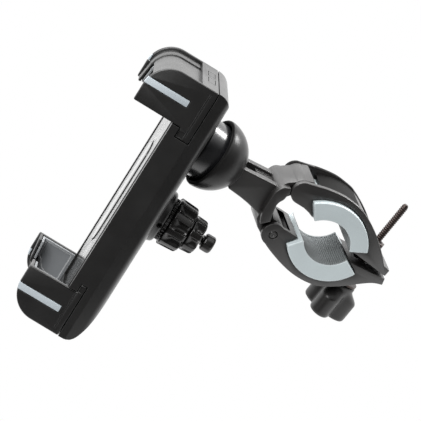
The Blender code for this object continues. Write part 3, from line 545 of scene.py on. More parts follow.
def maths(tree, operation, first, second, clamp=False):
    node = tree.nodes.new("ShaderNodeMath")
    node.operation = operation
    node.use_clamp = clamp
    feed(tree, node.inputs[0], first)
    feed(tree, node.inputs[1], second)
    return node.outputs[0]


def grey_ramp(tree, source, stops):
    """A ramp between two stops of (position, grey)."""
    node = tree.nodes.new("ShaderNodeValToRGB")
    for element, (position, grey) in zip(node.color_ramp.elements, stops):
        element.position = position
        element.color = (grey, grey, grey, 1.0)
    tree.links.new(source, node.inputs["Fac"])
    return node.outputs["Color"]


def map_range(tree, source, source_range, result_range, interpolation="LINEAR"):
    node = tree.nodes.new("ShaderNodeMapRange")
    node.interpolation_type = interpolation
    for key, value in zip(("From Min", "From Max"), source_range):
        node.inputs[key].default_value = value
    for key, value in zip(("To Min", "To Max"), result_range):
        node.inputs[key].default_value = value
    tree.links.new(source, node.inputs["Value"])
    return node.outputs[0]


def blend_colour(tree, mode, factor, first, second):
    node = tree.nodes.new("ShaderNodeMix")
    node.data_type = "RGBA"
    node.blend_type = mode
    # sockets 0, 6 and 7 are the factor and the two colours
    for index, value in ((0, factor), (6, first), (7, second)):
        feed(tree, node.inputs[index], value)
    return node.outputs[2]


def rounded_normal(tree, radius):
    bevel = add(tree, "ShaderNodeBevel", Radius=radius)
    bevel.samples = 6
    return bevel.outputs["Normal"]


def edge_mask(tree, radius):
    """1 at the edges of a piece, from how far a rounded normal leans off the true one."""
    strength = 6.0
    rounded = rounded_normal(tree, radius)
    geometry = tree.nodes.new("ShaderNodeNewGeometry")
    dot = tree.nodes.new("ShaderNodeVectorMath")
    dot.operation = "DOT_PRODUCT"
    tree.links.new(rounded, dot.inputs[0])
    tree.links.new(geometry.outputs["Normal"], dot.inputs[1])
    lean = maths(tree, "SUBTRACT", 1.0, dot.outputs["Value"])
    return maths(tree, "MULTIPLY", lean, strength, clamp=True)


MATERIAL = {}


def surface(
    name,
    colour,
    rough,
    grain=0.00022,
    bump=0.25,
    metallic=0.0,
    edge=None,
    edge_radius=0.0004,
    mottling=0.12,
    rough_var=0.08,
    specular=0.5,
    round_edges=0.0,
    stretch=(1, 1, 1),
    coat=0.0,
    recess=0.0,
):
    """A mottled, finely grained surface; lengths are in metres.

    grain: size of the fine noise; stretch: its scale along each axis
    edge: colour of the painted edge highlight, spread over edge_radius
    round_edges: radius of the shaded edge rounding
    recess: reach of the painted shade, darker and less shiny, between close surfaces
    """
    mat, tree, bsdf = shader(name)
    link = tree.links.new
    coords = tree.nodes.new("ShaderNodeTexCoord")
    mapping = add(tree, "ShaderNodeMapping", Scale=stretch)
    link(coords.outputs["Object"], mapping.inputs["Vector"])
    fine = add(tree, "ShaderNodeTexNoise", Scale=1.0 / grain, Detail=3.0, Roughness=0.6)
    coarse = add(tree, "ShaderNodeTexNoise", Scale=90.0, Detail=4.0, Roughness=0.55)
    link(mapping.outputs[0], fine.inputs["Vector"])
    link(coords.outputs["Object"], coarse.inputs["Vector"])
    patches, specks = coarse.outputs["Fac"], fine.outputs["Fac"]

    shade = grey_ramp(tree, patches, [(0.3, 1.0 - mottling), (0.7, 1.0)])
    tint = blend_colour(tree, "MULTIPLY", 1.0, colour, shade)
    speck = grey_ramp(tree, specks, [(0.35, 0.86), (0.65, 1.0)])
    tint = blend_colour(tree, "MULTIPLY", 0.7, tint, speck)
    # painted highlight: a lighter colour along the edges, broken up in patches
    if edge is not None:
        highlight_mask = edge_mask(tree, edge_radius)
        breaks = grey_ramp(tree, patches, [(0.25, 0.55), (0.7, 1.0)])
        tint = blend_colour(tree, "MIX", maths(tree, "MULTIPLY", highlight_mask, breaks), tint, edge)
    if recess > 0:
        # painted shade: darker and duller where the surface lies deep between others
        occlusion = add(tree, "ShaderNodeAmbientOcclusion", Distance=recess)
        occlusion.samples = 6
        painted_shade_factor = grey_ramp(tree, occlusion.outputs["AO"], [(0.15, 0.12), (0.75, 1.0)])
        tint = blend_colour(tree, "MULTIPLY", 1.0, tint, painted_shade_factor)
        shine = maths(tree, "MULTIPLY", painted_shade_factor, specular)
        link(shine, bsdf.inputs["Specular IOR Level"])
    link(tint, bsdf.inputs["Base Color"])
    rough_range = (max(rough - rough_var, 0.02), rough + rough_var)
    link(map_range(tree, patches, (0.0, 1.0), rough_range), bsdf.inputs["Roughness"])
    bsdf.inputs["Metallic"].default_value = metallic
    bsdf.inputs["Specular IOR Level"].default_value = specular
    bsdf.inputs["Coat Weight"].default_value = coat
    relief = add(tree, "ShaderNodeBump", Strength=bump, Distance=0.00006)
    link(specks, relief.inputs["Height"])
    if round_edges > 0:
        link(rounded_normal(tree, round_edges), relief.inputs["Normal"])
    link(relief.outputs["Normal"], bsdf.inputs["Normal"])
    mat.diffuse_color = (*colour, 1.0)
    MATERIAL[name] = mat


# ---------------------------------------------------------------- cradle materials
# edge colours here are painted edge highlights; recess sets the reach of painted shade
surface(
    "housing_black", colour=(0.0115, 0.0112, 0.0110), rough=0.36,
    edge=(0.035, 0.035, 0.035), round_edges=0.0003, recess=0.004, specular=0.6,
)
surface(
    "plate_black", colour=(0.018, 0.018, 0.0175), rough=0.30, round_edges=0.0002, recess=0.003,
)
surface(
    "pad_rubber", colour=(0.035, 0.035, 0.034), rough=0.20,
    bump=0.06, mottling=0.06, coat=0.35, specular=0.6, rough_var=0.03,
)
surface(
    "liner_grey", colour=(0.20, 0.21, 0.22), rough=0.50,
    edge=(0.60, 0.61, 0.61), edge_radius=0.0007, bump=0.15,
)
surface("stripe_grey", colour=(0.46, 0.51, 0.545), rough=0.55, bump=0.15, mottling=0.06)
surface("nylon_white", colour=(0.60, 0.59, 0.55), rough=0.45, bump=0.1)
surface(
    "knob_black", colour=(0.011, 0.0105, 0.010), rough=0.26,
    bump=0.12, edge=(0.03, 0.03, 0.03), round_edges=0.00035, recess=0.003,
)
surface(
    "steel", colour=(0.50, 0.49, 0.47), rough=0.30, metallic=1.0, stretch=(1, 1, 8), bump=0.08,
)
surface(
    "dark_steel", colour=(0.055, 0.042, 0.038), rough=0.40,
    metallic=0.85, bump=0.2, edge=(0.16, 0.14, 0.13), edge_radius=0.0002,
)

# ---------------------------------------------------------------- joint and clamp materials
# edge colours here are painted edge highlights; recess sets the reach of painted shade
surface(
    "collar_satin", colour=(0.016, 0.0165, 0.018), rough=0.24,
    bump=0.06, rough_var=0.04, specular=0.9,
)
surface(
    "dome_black", colour=(0.014, 0.0137, 0.0135), rough=0.30,
    bump=0.08, rough_var=0.05, specular=0.3,
)
surface(
    "clamp_black", colour=(0.0165, 0.0155, 0.0149), rough=0.40,
    edge=(0.06, 0.058, 0.056), round_edges=0.0003, recess=0.006, specular=0.9,
)
# painted shade: a darker, duller copy of the clamp plastic for the floor between the ribs
surface("clamp_painted_shade", colour=(0.005, 0.0048, 0.0046), rough=0.70, specular=0.12, bump=0.1)
surface(
    "clamp_rubber", colour=(0.53, 0.595, 0.61), rough=0.60,
    bump=0.18, edge=(0.78, 0.82, 0.82), edge_radius=0.0009, mottling=0.06,
)
surface(
    "wing_black", colour=(0.0105, 0.0098, 0.0094), rough=0.38,
    edge=(0.03, 0.029, 0.028), round_edges=0.0003, recess=0.005, specular=0.42,
)
# painted shade: a darker copy of the rubber for the ribbed bore, with a duller finish
surface(
    "clamp_rubber_painted_shade", colour=(0.225, 0.243, 0.247), rough=0.62,
    grain=0.00035, bump=0.5, stretch=(1, 0.05, 1), mottling=0.25, specular=0.3, recess=0.006,
)

# ---------------------------------------------------------------- finishing a piece
DONE = set()


def dress(obj, material, smooth_angle):
    obj.data.materials.clear()
    obj.data.materials.append(MATERIAL[material])
    obj.data.shade_smooth()
    obj.data.set_sharp_from_angle(angle=math.radians(smooth_angle))


def finish(obj, matrix, node, material=None, smooth_angle=32.0):
    """Put a finished piece in the row frame, in place of its CAD node."""
    with editing(obj.data) as shape:
        bmesh.ops.remove_doubles(shape, verts=shape.verts, dist=1e-4)
        bmesh.ops.transform(shape, matrix=matrix, verts=shape.verts)
    obj.name = node + "_look"
    obj.data.name = node + "_look"
    dress(obj, material or SLOT_OF[node], smooth_angle)
    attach(obj, BODY_OF[node])
    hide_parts(node)
    DONE.add(node)
    return obj


def second_material(obj, material, chosen):
    """Give the faces that pass the test a second material."""
    obj.data.materials.append(MATERIAL[material])
    for face in obj.data.polygons:
        if chosen(face):
            face.material_index = 1


def bar_distance(face, centre):
    """Distance in x and z from a face to an (x, z) centre in the clamp frame."""
    away = face.center - CLAMP @ Vector((centre[0], 0, centre[1]))
    return math.hypot(away.x, away.z)


# ---------------------------------------------------------------- jaws
CLAW_END_X = 2.6
STRIPE_Z0, STRIPE_Z1 = 49.45, 52.35
GROOVE_Z0, GROOVE_Z1 = 49.2, 52.6


def wrap(inset, x_end, above=0.0):
    """The corner curve above a height, then on to x_end along the jaw's end."""
    steps = 24
    corner = [
        (
            CORNER[0] - (CORNER_X - inset) * math.cos(math.pi / 2 * i / steps),
            CORNER[1] + (CORNER_Z - inset) * math.sin(math.pi / 2 * i / steps),
        )
        for i in range(steps + 1)
    ]
    return [(x, z) for x, z in corner if z > above] + [(x_end, HALF_L - inset)]


def lip_at(z):
    """x of the cheek's front edge at this height on the corner."""
    share = (z - CORNER[1]) / CORNER_Z
    return CORNER[0] - CORNER_X * math.sqrt(1.0 - share * share)


def flip(outline, side):
    return [(x, z * side) for x, z in outline]


def jaw_shell(side, split, foot_z):
    """Two cheeks, each with its claw, and the recessed wall between them."""
    cheek_outline = (
        [(LIP_X, JAW_EDGE)]
        + wrap(0.0, split)
        + [(split, foot_z), (FOOT_X, foot_z), (FOOT_X, JAW_EDGE)]
    )
    # a claw from its thin lip round to the end wall
    claw_outer = [(LIP_X + 0.6, JAW_EDGE + 0.15)] + wrap(RIM_IN, CLAW_END_X)
    claw_inner = [(LIP_X + 1.8, JAW_EDGE + 0.15), (LIP_X + 2.6, 50.2), (LIP_X + 4.1, 50.4)]
    claw_inner += wrap(RIM_IN + WALL, CLAW_END_X, above=51.0)
    claw_outline = claw_outer + claw_inner[::-1]
    halves = []
    for y in (-1, 1):
        cheek = plate(flip(cheek_outline, side), y * HALF_W, y * (HALF_W - CHEEK_T))
        cheek = soften(cheek, 0.55, 3, 40)
        claw = plate(flip(claw_outline, side), y * (HALF_W - CHEEK_T + 0.6), y * CLAW_Y)
        halves.append(join(cheek, soften(claw, 0.3, 2, 40)))
    wall = wrap(MID_IN, split, MID_Z) + wrap(MID_IN + WALL, split, MID_Z)[::-1]
    wall_y = HALF_W - CHEEK_T + 0.5
    return join(*halves, soften(plate(flip(wall, side), -wall_y, wall_y), 0.4, 2, 40))


def end_block(jaw, side, split):
    """Solid block level with the cheeks, behind the wall, with two fine square outlines."""
    block_y = HALF_W - 0.8
    block = box(
        (2.6 if side > 0 else 1.2, -block_y, side * 57.0),
        (split - 0.03, block_y, side * (HALF_L - 0.05)),
    )
    jaw = join(jaw, soften(block, 0.3, 2, 40))
    for y in (-8.0, 8.0):
        outer = box(
            (split - 5.2, y - 6.0, side * (HALF_L - 0.5)),
            (split - 1.6, y + 6.0, side * (HALF_L + 2)),
        )
        inner = box(
            (split - 4.9, y - 5.7, side * (HALF_L - 0.5 - 3)),
            (split - 1.9, y + 5.7, side * (HALF_L + 2 + 3)),
        )
        jaw = cut(jaw, cut(outer, inner))
    return jaw


def rack_tongue(jaw, side):
    """The tongue that holds the rack, with the rack's slot cut through it."""
    tongue = box(
        (GEAR_X0 - 1.0, side * 5.2, side * 50.6), (GEAR_X1 + 1.0, side * 13.4, side * 58.0)
    )
    jaw = join(jaw, soften(tongue, 0.3, 2, 40))
    slot = box(
        (GEAR_X0 - GAP, side * (5.0 + 0.4 - GAP), side * 45.0),
        (GEAR_X1 + GAP, side * (11.6 + GAP), side * (55.6 + GAP) + KNOB_Z),
    )
    return cut(jaw, slot)


def cheek_grooves(jaw, side, split, foot_z):
    front_x = -30  # clear of the lip
    for y in (-1, 1):
        # the stripe's groove, and its wrap round the front edge
        for depth, x_end in ((0.9, 2.2), (CHEEK_T + 0.2, LIP_X + 1.25)):
            groove = box(
                (front_x, y * (HALF_W - depth), side * GROOVE_Z0),
                (x_end, y * (HALF_W + 1), side * GROOVE_Z1),
            )
            jaw = cut(jaw, groove)
        # two fine lines that run beside the parting
        for x in (split - 3.4, split - 2.6):
            line = box(
                (x - 0.11, y * (HALF_W - 0.12), side * (foot_z + 2.0)),
                (x + 0.11, y * (HALF_W + 1), side * (HALF_L - 2.2)),
            )
            jaw = cut(jaw, line)
        # shallow notch at the foot
        notch = box(
            (4.5, y * (HALF_W - 0.35), side * (foot_z + 0.5)),
            (7.3, y * (HALF_W + 1.0), side * (foot_z + 3.4)),
        )
        jaw = cut(jaw, notch)
    return jaw


def build_jaw(end, side, split, foot_z):
    jaw = jaw_shell(side, split, foot_z)
    jaw = end_block(jaw, side, split)
    jaw = rack_tongue(jaw, side)
    jaw = cheek_grooves(jaw, side, split, foot_z)
    finish(jaw, CRADLE, end + "_jaw")


def build_liner(side, y, name):
    """A thin sheet inside the cheek, with a strip behind the lip and a sunk panel."""
    inside = HALF_W - CHEEK_T - GAP
    back_x = 0.1
    edge_z = JAW_EDGE + 0.4
    lip_edge = [(LIP_X + 2.17, edge_z), (LIP_X + 2.92, 49.8)]
    outline = lip_edge + wrap(LINER_IN, back_x, above=49.9) + [(back_x, edge_z)]
    liner = soften(plate(flip(outline, side), y * (inside - 1.6), y * inside), 0.3, 2, 40)
    # it turns in behind the lip
    strip = lip_edge + [(LIP_X + 3.92, 49.8), (LIP_X + 3.17, edge_z)]
    strip = plate(flip(strip, side), y * (inside - 0.4), y * (CLAW_Y + 0.2))
    liner = join(liner, soften(strip, 0.25, 2, 40))
    # a sunk panel inside a raised border
    panel_x, panel_z = -1.3, JAW_EDGE + 1.5
    panel = (
        [(LIP_X + 4.6, panel_z), (LIP_X + 4.9, 49.6)]
        + wrap(LINER_IN + 1.6, panel_x, above=50.5)
        + [(panel_x, panel_z)]
    )
    liner = cut(liner, plate(flip(panel, side), y * (inside - 1.25), y * (inside - 3.0)))
    finish(liner, CRADLE, name)


def build_stripe(side, y, name):
    """A soft strip let into its groove and wrapped round the cheek's front edge."""
    steps = 20
    heights = [STRIPE_Z0 + (STRIPE_Z1 - STRIPE_Z0) / steps * i for i in range(steps + 1)]
    front = [(lip_at(z) - 0.05, z) for z in heights]
    face_y = y * (HALF_W + 0.05)
    lengths = []
    for x_end, inner_y in ((1.9, HALF_W - 0.6), (LIP_X + 0.95, HALF_W - CHEEK_T)):
        outline = front + [(x_end, STRIPE_Z1), (x_end, STRIPE_Z0)]
        lengths.append(plate(flip(outline, side), y * inner_y, face_y))
    finish(soften(join(*lengths), 0.18, 3, 50), CRADLE, name)


# ---------------------------------------------------------------- rear housing
# lower rear corner of the side view, (x, z)
REAR_CORNER = [
    (12.2, -60.4), (13.6, -59.0), (14.9, -56.3), (16.2, -52.0), (17.0, -47.3), (17.7, -40.0),
    (REAR_X, -33.0),
]
# near half of the rear face seen along z, (x, y)
REAR_FACE = [
    (14.7, -28.95), (15.5, -28.45), (16.3, -27.5), (17.2, -25.2), (17.8, -21.0),
    (18.05, -12.0), (18.3, 0.0),
]


def housing_shell():
    front_x, end_z = 0.4, 56.6
    side_view = (
        [(front_x, -end_z), (TOP_SPLIT, -end_z), (TOP_SPLIT, -61.05)]
        + smooth_path(REAR_CORNER, 5)
        + arc((11.2, 54.2), 7.0, 5, 84, 24)
        + [(TOP_SPLIT + GAP, HALF_L), (TOP_SPLIT + GAP, end_z), (front_x, end_z)]
    )
    bottom_edge = [
        (BOTTOM_SPLIT + GAP, -HALF_L),
        (10.0, -61.1),
        (TOP_SPLIT + 0.9, -60.5),
        (TOP_SPLIT + 0.9, -55.0),
        (BOTTOM_SPLIT + GAP, -55.0),
    ]
    shell = join(plate(side_view, -HALF_W, HALF_W), plate(bottom_edge, -HALF_W, HALF_W))
    half = smooth_path(REAR_FACE, 5)
    section = (
        [(-5.0, -HALF_W), (SIDE_X, -HALF_W)]
        + half
        + [(x, -y) for x, y in half[:-1][::-1]]
        + [(SIDE_X, HALF_W), (-5.0, HALF_W)]
    )
    shell = keep(shell, plate(section, -70.0, 70.0, along="Z"))
    return cut(
        shell,
        box((-2, -26.2, -55.0), (12.0, 26.2, 55.0)),
        box((11.5, -23.6, -46.0), (15.9, 23.6, 51.0)),
    )


def clear_jaws(housing):
    """Cut room for the jaws' cheeks, feet and tongues."""
    for _, side, split, foot in JAWS:
        for y in (-1, 1):
            inner_y, outer_y = y * (HALF_W - CHEEK_T - GAP), y * (HALF_W + 3)
            housing = cut(
                housing,
                box((-2, inner_y, side * (JAW_EDGE - GAP)), (split + GAP, outer_y, side * 70)),
            )
            housing = cut(
                housing,
                box(
                    (FOOT_X - GAP, inner_y, side * (foot - GAP)),
                    (split + GAP, outer_y, side * (JAW_EDGE + 1)),
                ),
            )
        opening = box(
            (GEAR_X0 - 4.4, side * RACK_Y0, side * 50), (GEAR_X1 + 1.4, side * RACK_Y1, side * 70)
        )
        housing = cut(housing, opening)
    return housing


def knob_boss():
    foot = [
        (BOSS_R + 0.3, 19.6), (BOSS_R + 0.8, 18.6), (BOSS_R + 1.9, 17.6), (BOSS_R + 2.6, 17.0),
        (5.4, 14.0), (0, 14.0),
    ]
    top = shoulder(BOSS_R, BOSS_X, inset=1.8, drop=1.6, steps=6)
    return move(turned([(0, BOSS_X)] + top + foot, 72), KNOB_FRAME)


def add_dish(housing):
    """The hollow behind the ball, its wall, and the screw post at its centre."""
    dish_y, dish_z = 24, 20
    wall = keep(
        ball(BALL, DISH_R + 1.5, 64, 40, pole=(1, 0, 0)),
        box((DISH_FLOOR - 1.4, -dish_y, BALL_Z - dish_z), (17.2, dish_y, BALL_Z + 17.6)),
    )
    hollow = keep(
        ball(BALL, DISH_R, 72, 48, pole=(1, 0, 0)),
        box((DISH_FLOOR, -dish_y, BALL_Z - dish_z), (40.0, dish_y, BALL_Z + dish_z)),
    )
    mouth = rod_x(17.0, 22, BALL_YZ, 18.5, 96, end_radius=19.5)
    housing = cut(join(housing, wall), hollow, mouth)
    housing = join(housing, rod_x(7.6, 10.0, BALL_YZ, 5.4, 40))
    return cut(housing, rod_x(5.0, 12.0, BALL_YZ, 1.85, 32))


def build_housing():
    housing = clear_jaws(housing_shell())
    housing = add_dish(join(housing, knob_boss()))
    for centre in SCREWS:
        housing = join(housing, rod_x(3.9, 16.4, centre, 3.0, 32))
        housing = cut(housing, rod_x(3.0, 12.0, centre, 1.25, 24))
    # shaft hole, and a stepped hole into the near side of the boss
    side_x, side_z = 20.3, KNOB_Z - 1.6
    housing = cut(
        housing,
        rod_x(12.0, 24.0, KNOB_YZ, SHAFT_HOLE_R, 48),
        rod((side_x, -14.0, side_z), (side_x, -8.6, side_z), 0.8, 24),
        rod((side_x, -14.0, side_z), (side_x, -11.3, side_z), 1.3, 24),
    )
    finish(housing, CRADLE, "rear_housing", smooth_angle=20.0)


# ---------------------------------------------------------------- front plate and pad
def build_cover():
    """The front plate: a shallow tray for the pad, with countersunk screw holes."""
    cover = soften(box((0.05, -25.9, -54.7), (3.6, 25.9, 54.7)), 0.25, 3, 40)
    cover = cut(cover, box((-1, -24.3, -50.0), (1.5, 24.3, 50.0)))
    for side in (-1, 1):
        opening = box((GEAR_X0 - 1.35, side * RACK_Y0, side * 49.8), (6, side * RACK_Y1, side * 60))
        cover = cut(cover, opening)
    for centre in SCREWS:
        cover = cut(cover, rod_x(1.0, 2.7, centre, 2.5, 32), rod_x(2.0, 5.0, centre, 1.4, 32))
    finish(cover, CRADLE, "front_plate")


PANEL_HALF = 17.5  # from the pad's centre to the centre of the panel's round end
PANEL_R = 7.0
PANEL_GROOVE_R = 7.9
PANEL_CLEAR_R = 8.3  # the ribs stop here
RIB_SLOPE = math.radians(153.0)
RIB_ALONG = (math.cos(RIB_SLOPE), math.sin(RIB_SLOPE))
RIB_ACROSS = (-RIB_ALONG[1], RIB_ALONG[0])
RIB_PITCH = 1.05
RIB_AREA = (23.2, 48.9)  # half sizes in y and z
RIB_HEIGHT = 0.10
# a rib's section: x, and offset across the rib
RIB_SECTION = [(0.6, -0.44), (0.6, 0.44), (0.5 - RIB_HEIGHT, 0.38), (0.5 - RIB_HEIGHT, -0.38)]


def stadium(radius):
    top = arc((0, PANEL_HALF), radius, 0, 180, 32)
    return top + arc((0, -PANEL_HALF), radius, 180, 360, 32)


def rib_point(start, distance, offset=0.0):
    return [
        at + along * distance + across * offset
        for at, along, across in zip(start, RIB_ALONG, RIB_ACROSS)
    ]


def rib_span(start):
    """The two distances at which a rib's line meets the edge of the ribbed area."""
    first, last = -1e9, 1e9
    for at, along, half in zip(start, RIB_ALONG, RIB_AREA):
        enter, leave = sorted(((-half - at) / along, (half - at) / along))
        first, last = max(first, enter), min(last, leave)
    return (first, last) if last - first > 0.5 else None


def rib_lengths(start, first, last):
    """A rib's lengths, broken where it would cross the raised panel."""
    lengths, begun = [], None
    steps = max(int((last - first) / 0.4), 2)
    for i in range(steps + 1):
        distance = first + (last - first) * i / steps
        y, z = rib_point(start, distance)
        inside = math.hypot(y, max(abs(z) - PANEL_HALF, 0.0)) < PANEL_CLEAR_R
        if not inside and begun is None:
            begun = distance
        if (inside or i == steps) and begun is not None:
            if distance - begun > 0.8:
                lengths.append((begun, distance))
            begun = None
    return lengths


def add_rib(shape, start, ends):
    rings = [
        [shape.verts.new((x, *rib_point(start, distance, offset))) for x, offset in RIB_SECTION]
        for distance in ends
    ]
    loft(shape, rings)
    shape.faces.new(rings[0])
    shape.faces.new(rings[1][::-1])


def build_pad():
    """The pad: a thin sheet with slanting ribs round a raised long panel."""
    pad = soften(box((0.5, -24.0, -49.7), (1.2, 24.0, 49.7)), 0.2, 2, 40)
    panel = soften(plate(stadium(PANEL_R), 0.0, 0.9, along="X"), 0.2, 3, 60)
    pad = cut(pad, plate(stadium(PANEL_GROOVE_R), -0.2, 0.75, along="X"))
    pad = join(pad, panel)
    count = int(70 / RIB_PITCH)
    with editing(pad.data) as shape:
        for k in range(-count, count + 1):
            start = [across * k * RIB_PITCH for across in RIB_ACROSS]
            span = rib_span(start)
            if span is not None:
                for ends in rib_lengths(start, *span):
                    add_rib(shape, start, ends)
        bmesh.ops.recalc_face_normals(shape, faces=shape.faces)
        # the face tucks in a little towards each end
        for vertex in shape.verts:
            if vertex.co.x < 1.0:
                vertex.co.x += 0.45 * smoothstep((abs(vertex.co.z) - 33.0) / 14.0)
    finish(pad, CRADLE, "grip_pad")


# ---------------------------------------------------------------- knobs
def build_ratchet_ring():
    """A thin ring with a waved edge."""
    teeth, points_per_tooth, depth = 36, 8, 0.25
    count = teeth * points_per_tooth
    outline = []
    for i in range(count):
        angle = 2 * math.pi * i / count
        radius = RING_R - depth + depth * math.cos(teeth * angle)
        outline.append((radius * math.cos(angle), radius * math.sin(angle)))
    disc = plate(outline, RING_X0, RING_X1, "Z", place=KNOB_FRAME)
    disc = cut(disc, rod_x(20, 26, KNOB_YZ, SHAFT_HOLE_R, 48))
    finish(disc, CRADLE, "ratchet_ring")


def build_fluted(name, radius, start, end, lobes, depth):
    """A moulded knob: rounded ends and scooped flutes that fade out towards the base."""
    around, along = 240, 28
    top_round, base_round = 1.5, 0.6
    taper = 0.055  # share of the radius lost from base to top
    flute_width = 0.62  # share of each lobe's pitch
    length = end - start
    scoops = []
    for k in range(around):
        phase = (2 * math.pi * k / around * lobes / (2 * math.pi)) % 1.0
        across = abs(phase - 0.5) * 2.0
        scoops.append(math.sqrt(max(0.0, 1.0 - (across / flute_width) ** 2)) ** 1.2)
    shape = bmesh.new()
    rings = []
    for i in range(along + 1):
        t = i / along
        top_share, base_share = top_round / length, base_round / length
        shrink = 0.0
        if t > 1 - top_share:
            shrink = rounding((t - (1 - top_share)) / top_share, top_round)
        if t < base_share:
            shrink = rounding(1 - t / base_share, base_round)
        body = radius * (1.0 - taper * t) - shrink
        fade = 0.30 + 0.70 * smoothstep((t - 0.06) / 0.42)
        radii = [body - depth * fade * scoop for scoop in scoops]
        rings.append(ring(shape, start + length * t, radii))
    base_rim = ring(shape, start, [KNOB_BORE] * around)
    top_rim = ring(shape, end, [KNOB_BORE] * around)
    for strip in (rings, [base_rim, rings[0]], [rings[-1], top_rim], [base_rim, top_rim]):
        loft(shape, strip)
    finish(move(from_bmesh(shape), KNOB_FRAME), CRADLE, name, smooth_angle=50)


def build_tip():
    """The small end cap, with its stem."""
    rounded = shoulder(TIP_R, TIP_X1, inset=1.6, drop=1.4, steps=6)
    base = shoulder(TIP_R, TIP_X0, inset=1.0, drop=-0.9, steps=5)[::-1]
    stem = [(2.4, TIP_X0), (2.4, 40.3), (1.05, 40.3), (1.05, 37.4), (0, 37.4)]
    tip = move(turned([(0, TIP_X1)] + rounded + base + stem, 48), KNOB_FRAME)
    # a knurl of small flats round the tip
    flats, knurl_depth = 12, 0.035
    inverse = KNOB_FRAME.inverted()
    for vertex in tip.data.vertices:
        place = inverse @ vertex.co
        if math.hypot(place.x, place.y) > TIP_R - 0.35:
            angle = math.atan2(place.y, place.x)
            share = 1.0 - knurl_depth * (0.5 - 0.5 * math.cos(flats * angle))
            vertex.co = KNOB_FRAME @ Vector((place.x * share, place.y * share, place.z))
    finish(tip, CRADLE, "knob_tip", smooth_angle=45)


# ---------------------------------------------------------------- ball joint
def build_ball_stud():
    stud = join(
        ball(BALL, BALL_R, 72, 48, pole=(1, 0, 0)),
        rod_x(11.0, BALL_X - 4, BALL_YZ, 3.3, 56),
        rod_x(10.6, 12.2, BALL_YZ, 4.4, 56),
    )
    stud = cut(stud, rod_x(9.0, 19.0, BALL_YZ, 1.75, 32))
    finish(stud, CRADLE, "ball_stud")


def build_collar():
    """The collar nut round the ball, and the seal ring behind it."""
    seat_r = BALL_R + 1.0
    seat_start = math.degrees(math.acos(5.3 / seat_r))
    seat = [(radius, -depth) for depth, radius in arc((0, 0), seat_r, seat_start, 90, 20)]
    profile = (
        [(9.0, COLLAR_FRONT)]
        + shoulder(COLLAR_R, COLLAR_FRONT, inset=1.0, drop=-1.0, steps=9)
        + [(COLLAR_R, 0.55), (COLLAR_R - 0.12, 0.85), (COLLAR_R - 0.45, 1.0)]
        + [(11.3, 1.0), (11.3, 6.0), (seat_r, 6.0)]
        + seat[::-1]
    )
    finish(turned(profile, 128, closed=True), SOCKET, "collar_nut")
    seal = turned(arc((12.75, 1.95), 0.62, 0, 345, 23), 128, closed=True)
    finish(seal, SOCKET, "collar_seal")


# ---------------------------------------------------------------- swivel arm
# outlines in (x, z)
ARM_CHEEK = [
    (9.5, -2.2), (11.5, -4.0), (30.6, -16.0), (27.5, -20.0), (23.0, -28.5), (21.2, -29.6),
]
ARM_CHEEK_UNDER = [(21.2, -29.6), (16.4, -23.4), (12.0, -18.8), (6.5, -13.9)]
ARM_BLOCK = [(19.8, -10.8), (27.0, -15.4), (26.0, -24.0), (22.5, -29.0), (19.8, -26.0)]
BLOCK_GROOVE = [(18.0, -9.2), (28.0, -15.6), (28.0, -16.9), (18.0, -10.5)]
ARM_BASE_OUTER = [
    (33.2, -14.3), (29.5, -13.6), (26.1, -15.7), (23.1, -20.3), (20.6, -25.4), (19.7, -30.3),
]
ARM_BASE_INNER = [
    (24.2, -29.6), (25.3, -25.8), (26.6, -22.4), (27.9, -20.7), (30.0, -19.4), (31.3, -17.9),
    (32.6, -16.6),
]


def dome():
    """The cap over the ball, about z, hollowed to a seat."""
    seat_r = BALL_R + 1.15
    seat_end = math.degrees(math.acos(6.4 / seat_r))
    seat = [(radius, height) for height, radius in arc((0, 0), seat_r, 0, seat_end, 16)]
    rim = [
        (11.6, 6.4), (11.6, 2.8), (LIP_R, 2.8), (LIP_R, -0.2), (LIP_R + 0.35, -0.62),
        (15.0, -0.62), (15.6, -0.5), (16.0, -0.15),
    ]
    cap = [(radius, height) for height, radius in arc((0, 0), DOME_R, 88, 0, 48)]
    return turned(seat + rim + cap, 128)


def arm_middle():
    """The middle layer, with a knuckle round each hinge pin."""
    outline = (
        [(29.4, -13.7), (32.2, -12.6)]
        + arc(UPPER_PIVOT, 5.2, 118, 62, 16)
        + arc(UPPER_PIVOT, 6.5, 36, -4, 10)
        + arc(UPPER_PIVOT, 5.0, -32, -160, 24)
        + [(29.2, -20.2), (26.9, -22.6), (25.8, -26.0), (26.2, -29.6)]
        + arc(LOWER_PIVOT, KNUCKLE_R, 60, -130, 32)
        + [(19.0, -33.0), (18.7, -29.0), (20.6, -25.2), (23.2, -20.2), (26.2, -15.7)]
    )
    middle = soften(plate(outline, -MID_Y, MID_Y), 0.35, 2, 50)
    for pivot in (UPPER_PIVOT, LOWER_PIVOT):
        middle = cut(middle, rod_y(20, pivot, PIN_R + GAP, 48))
    return middle


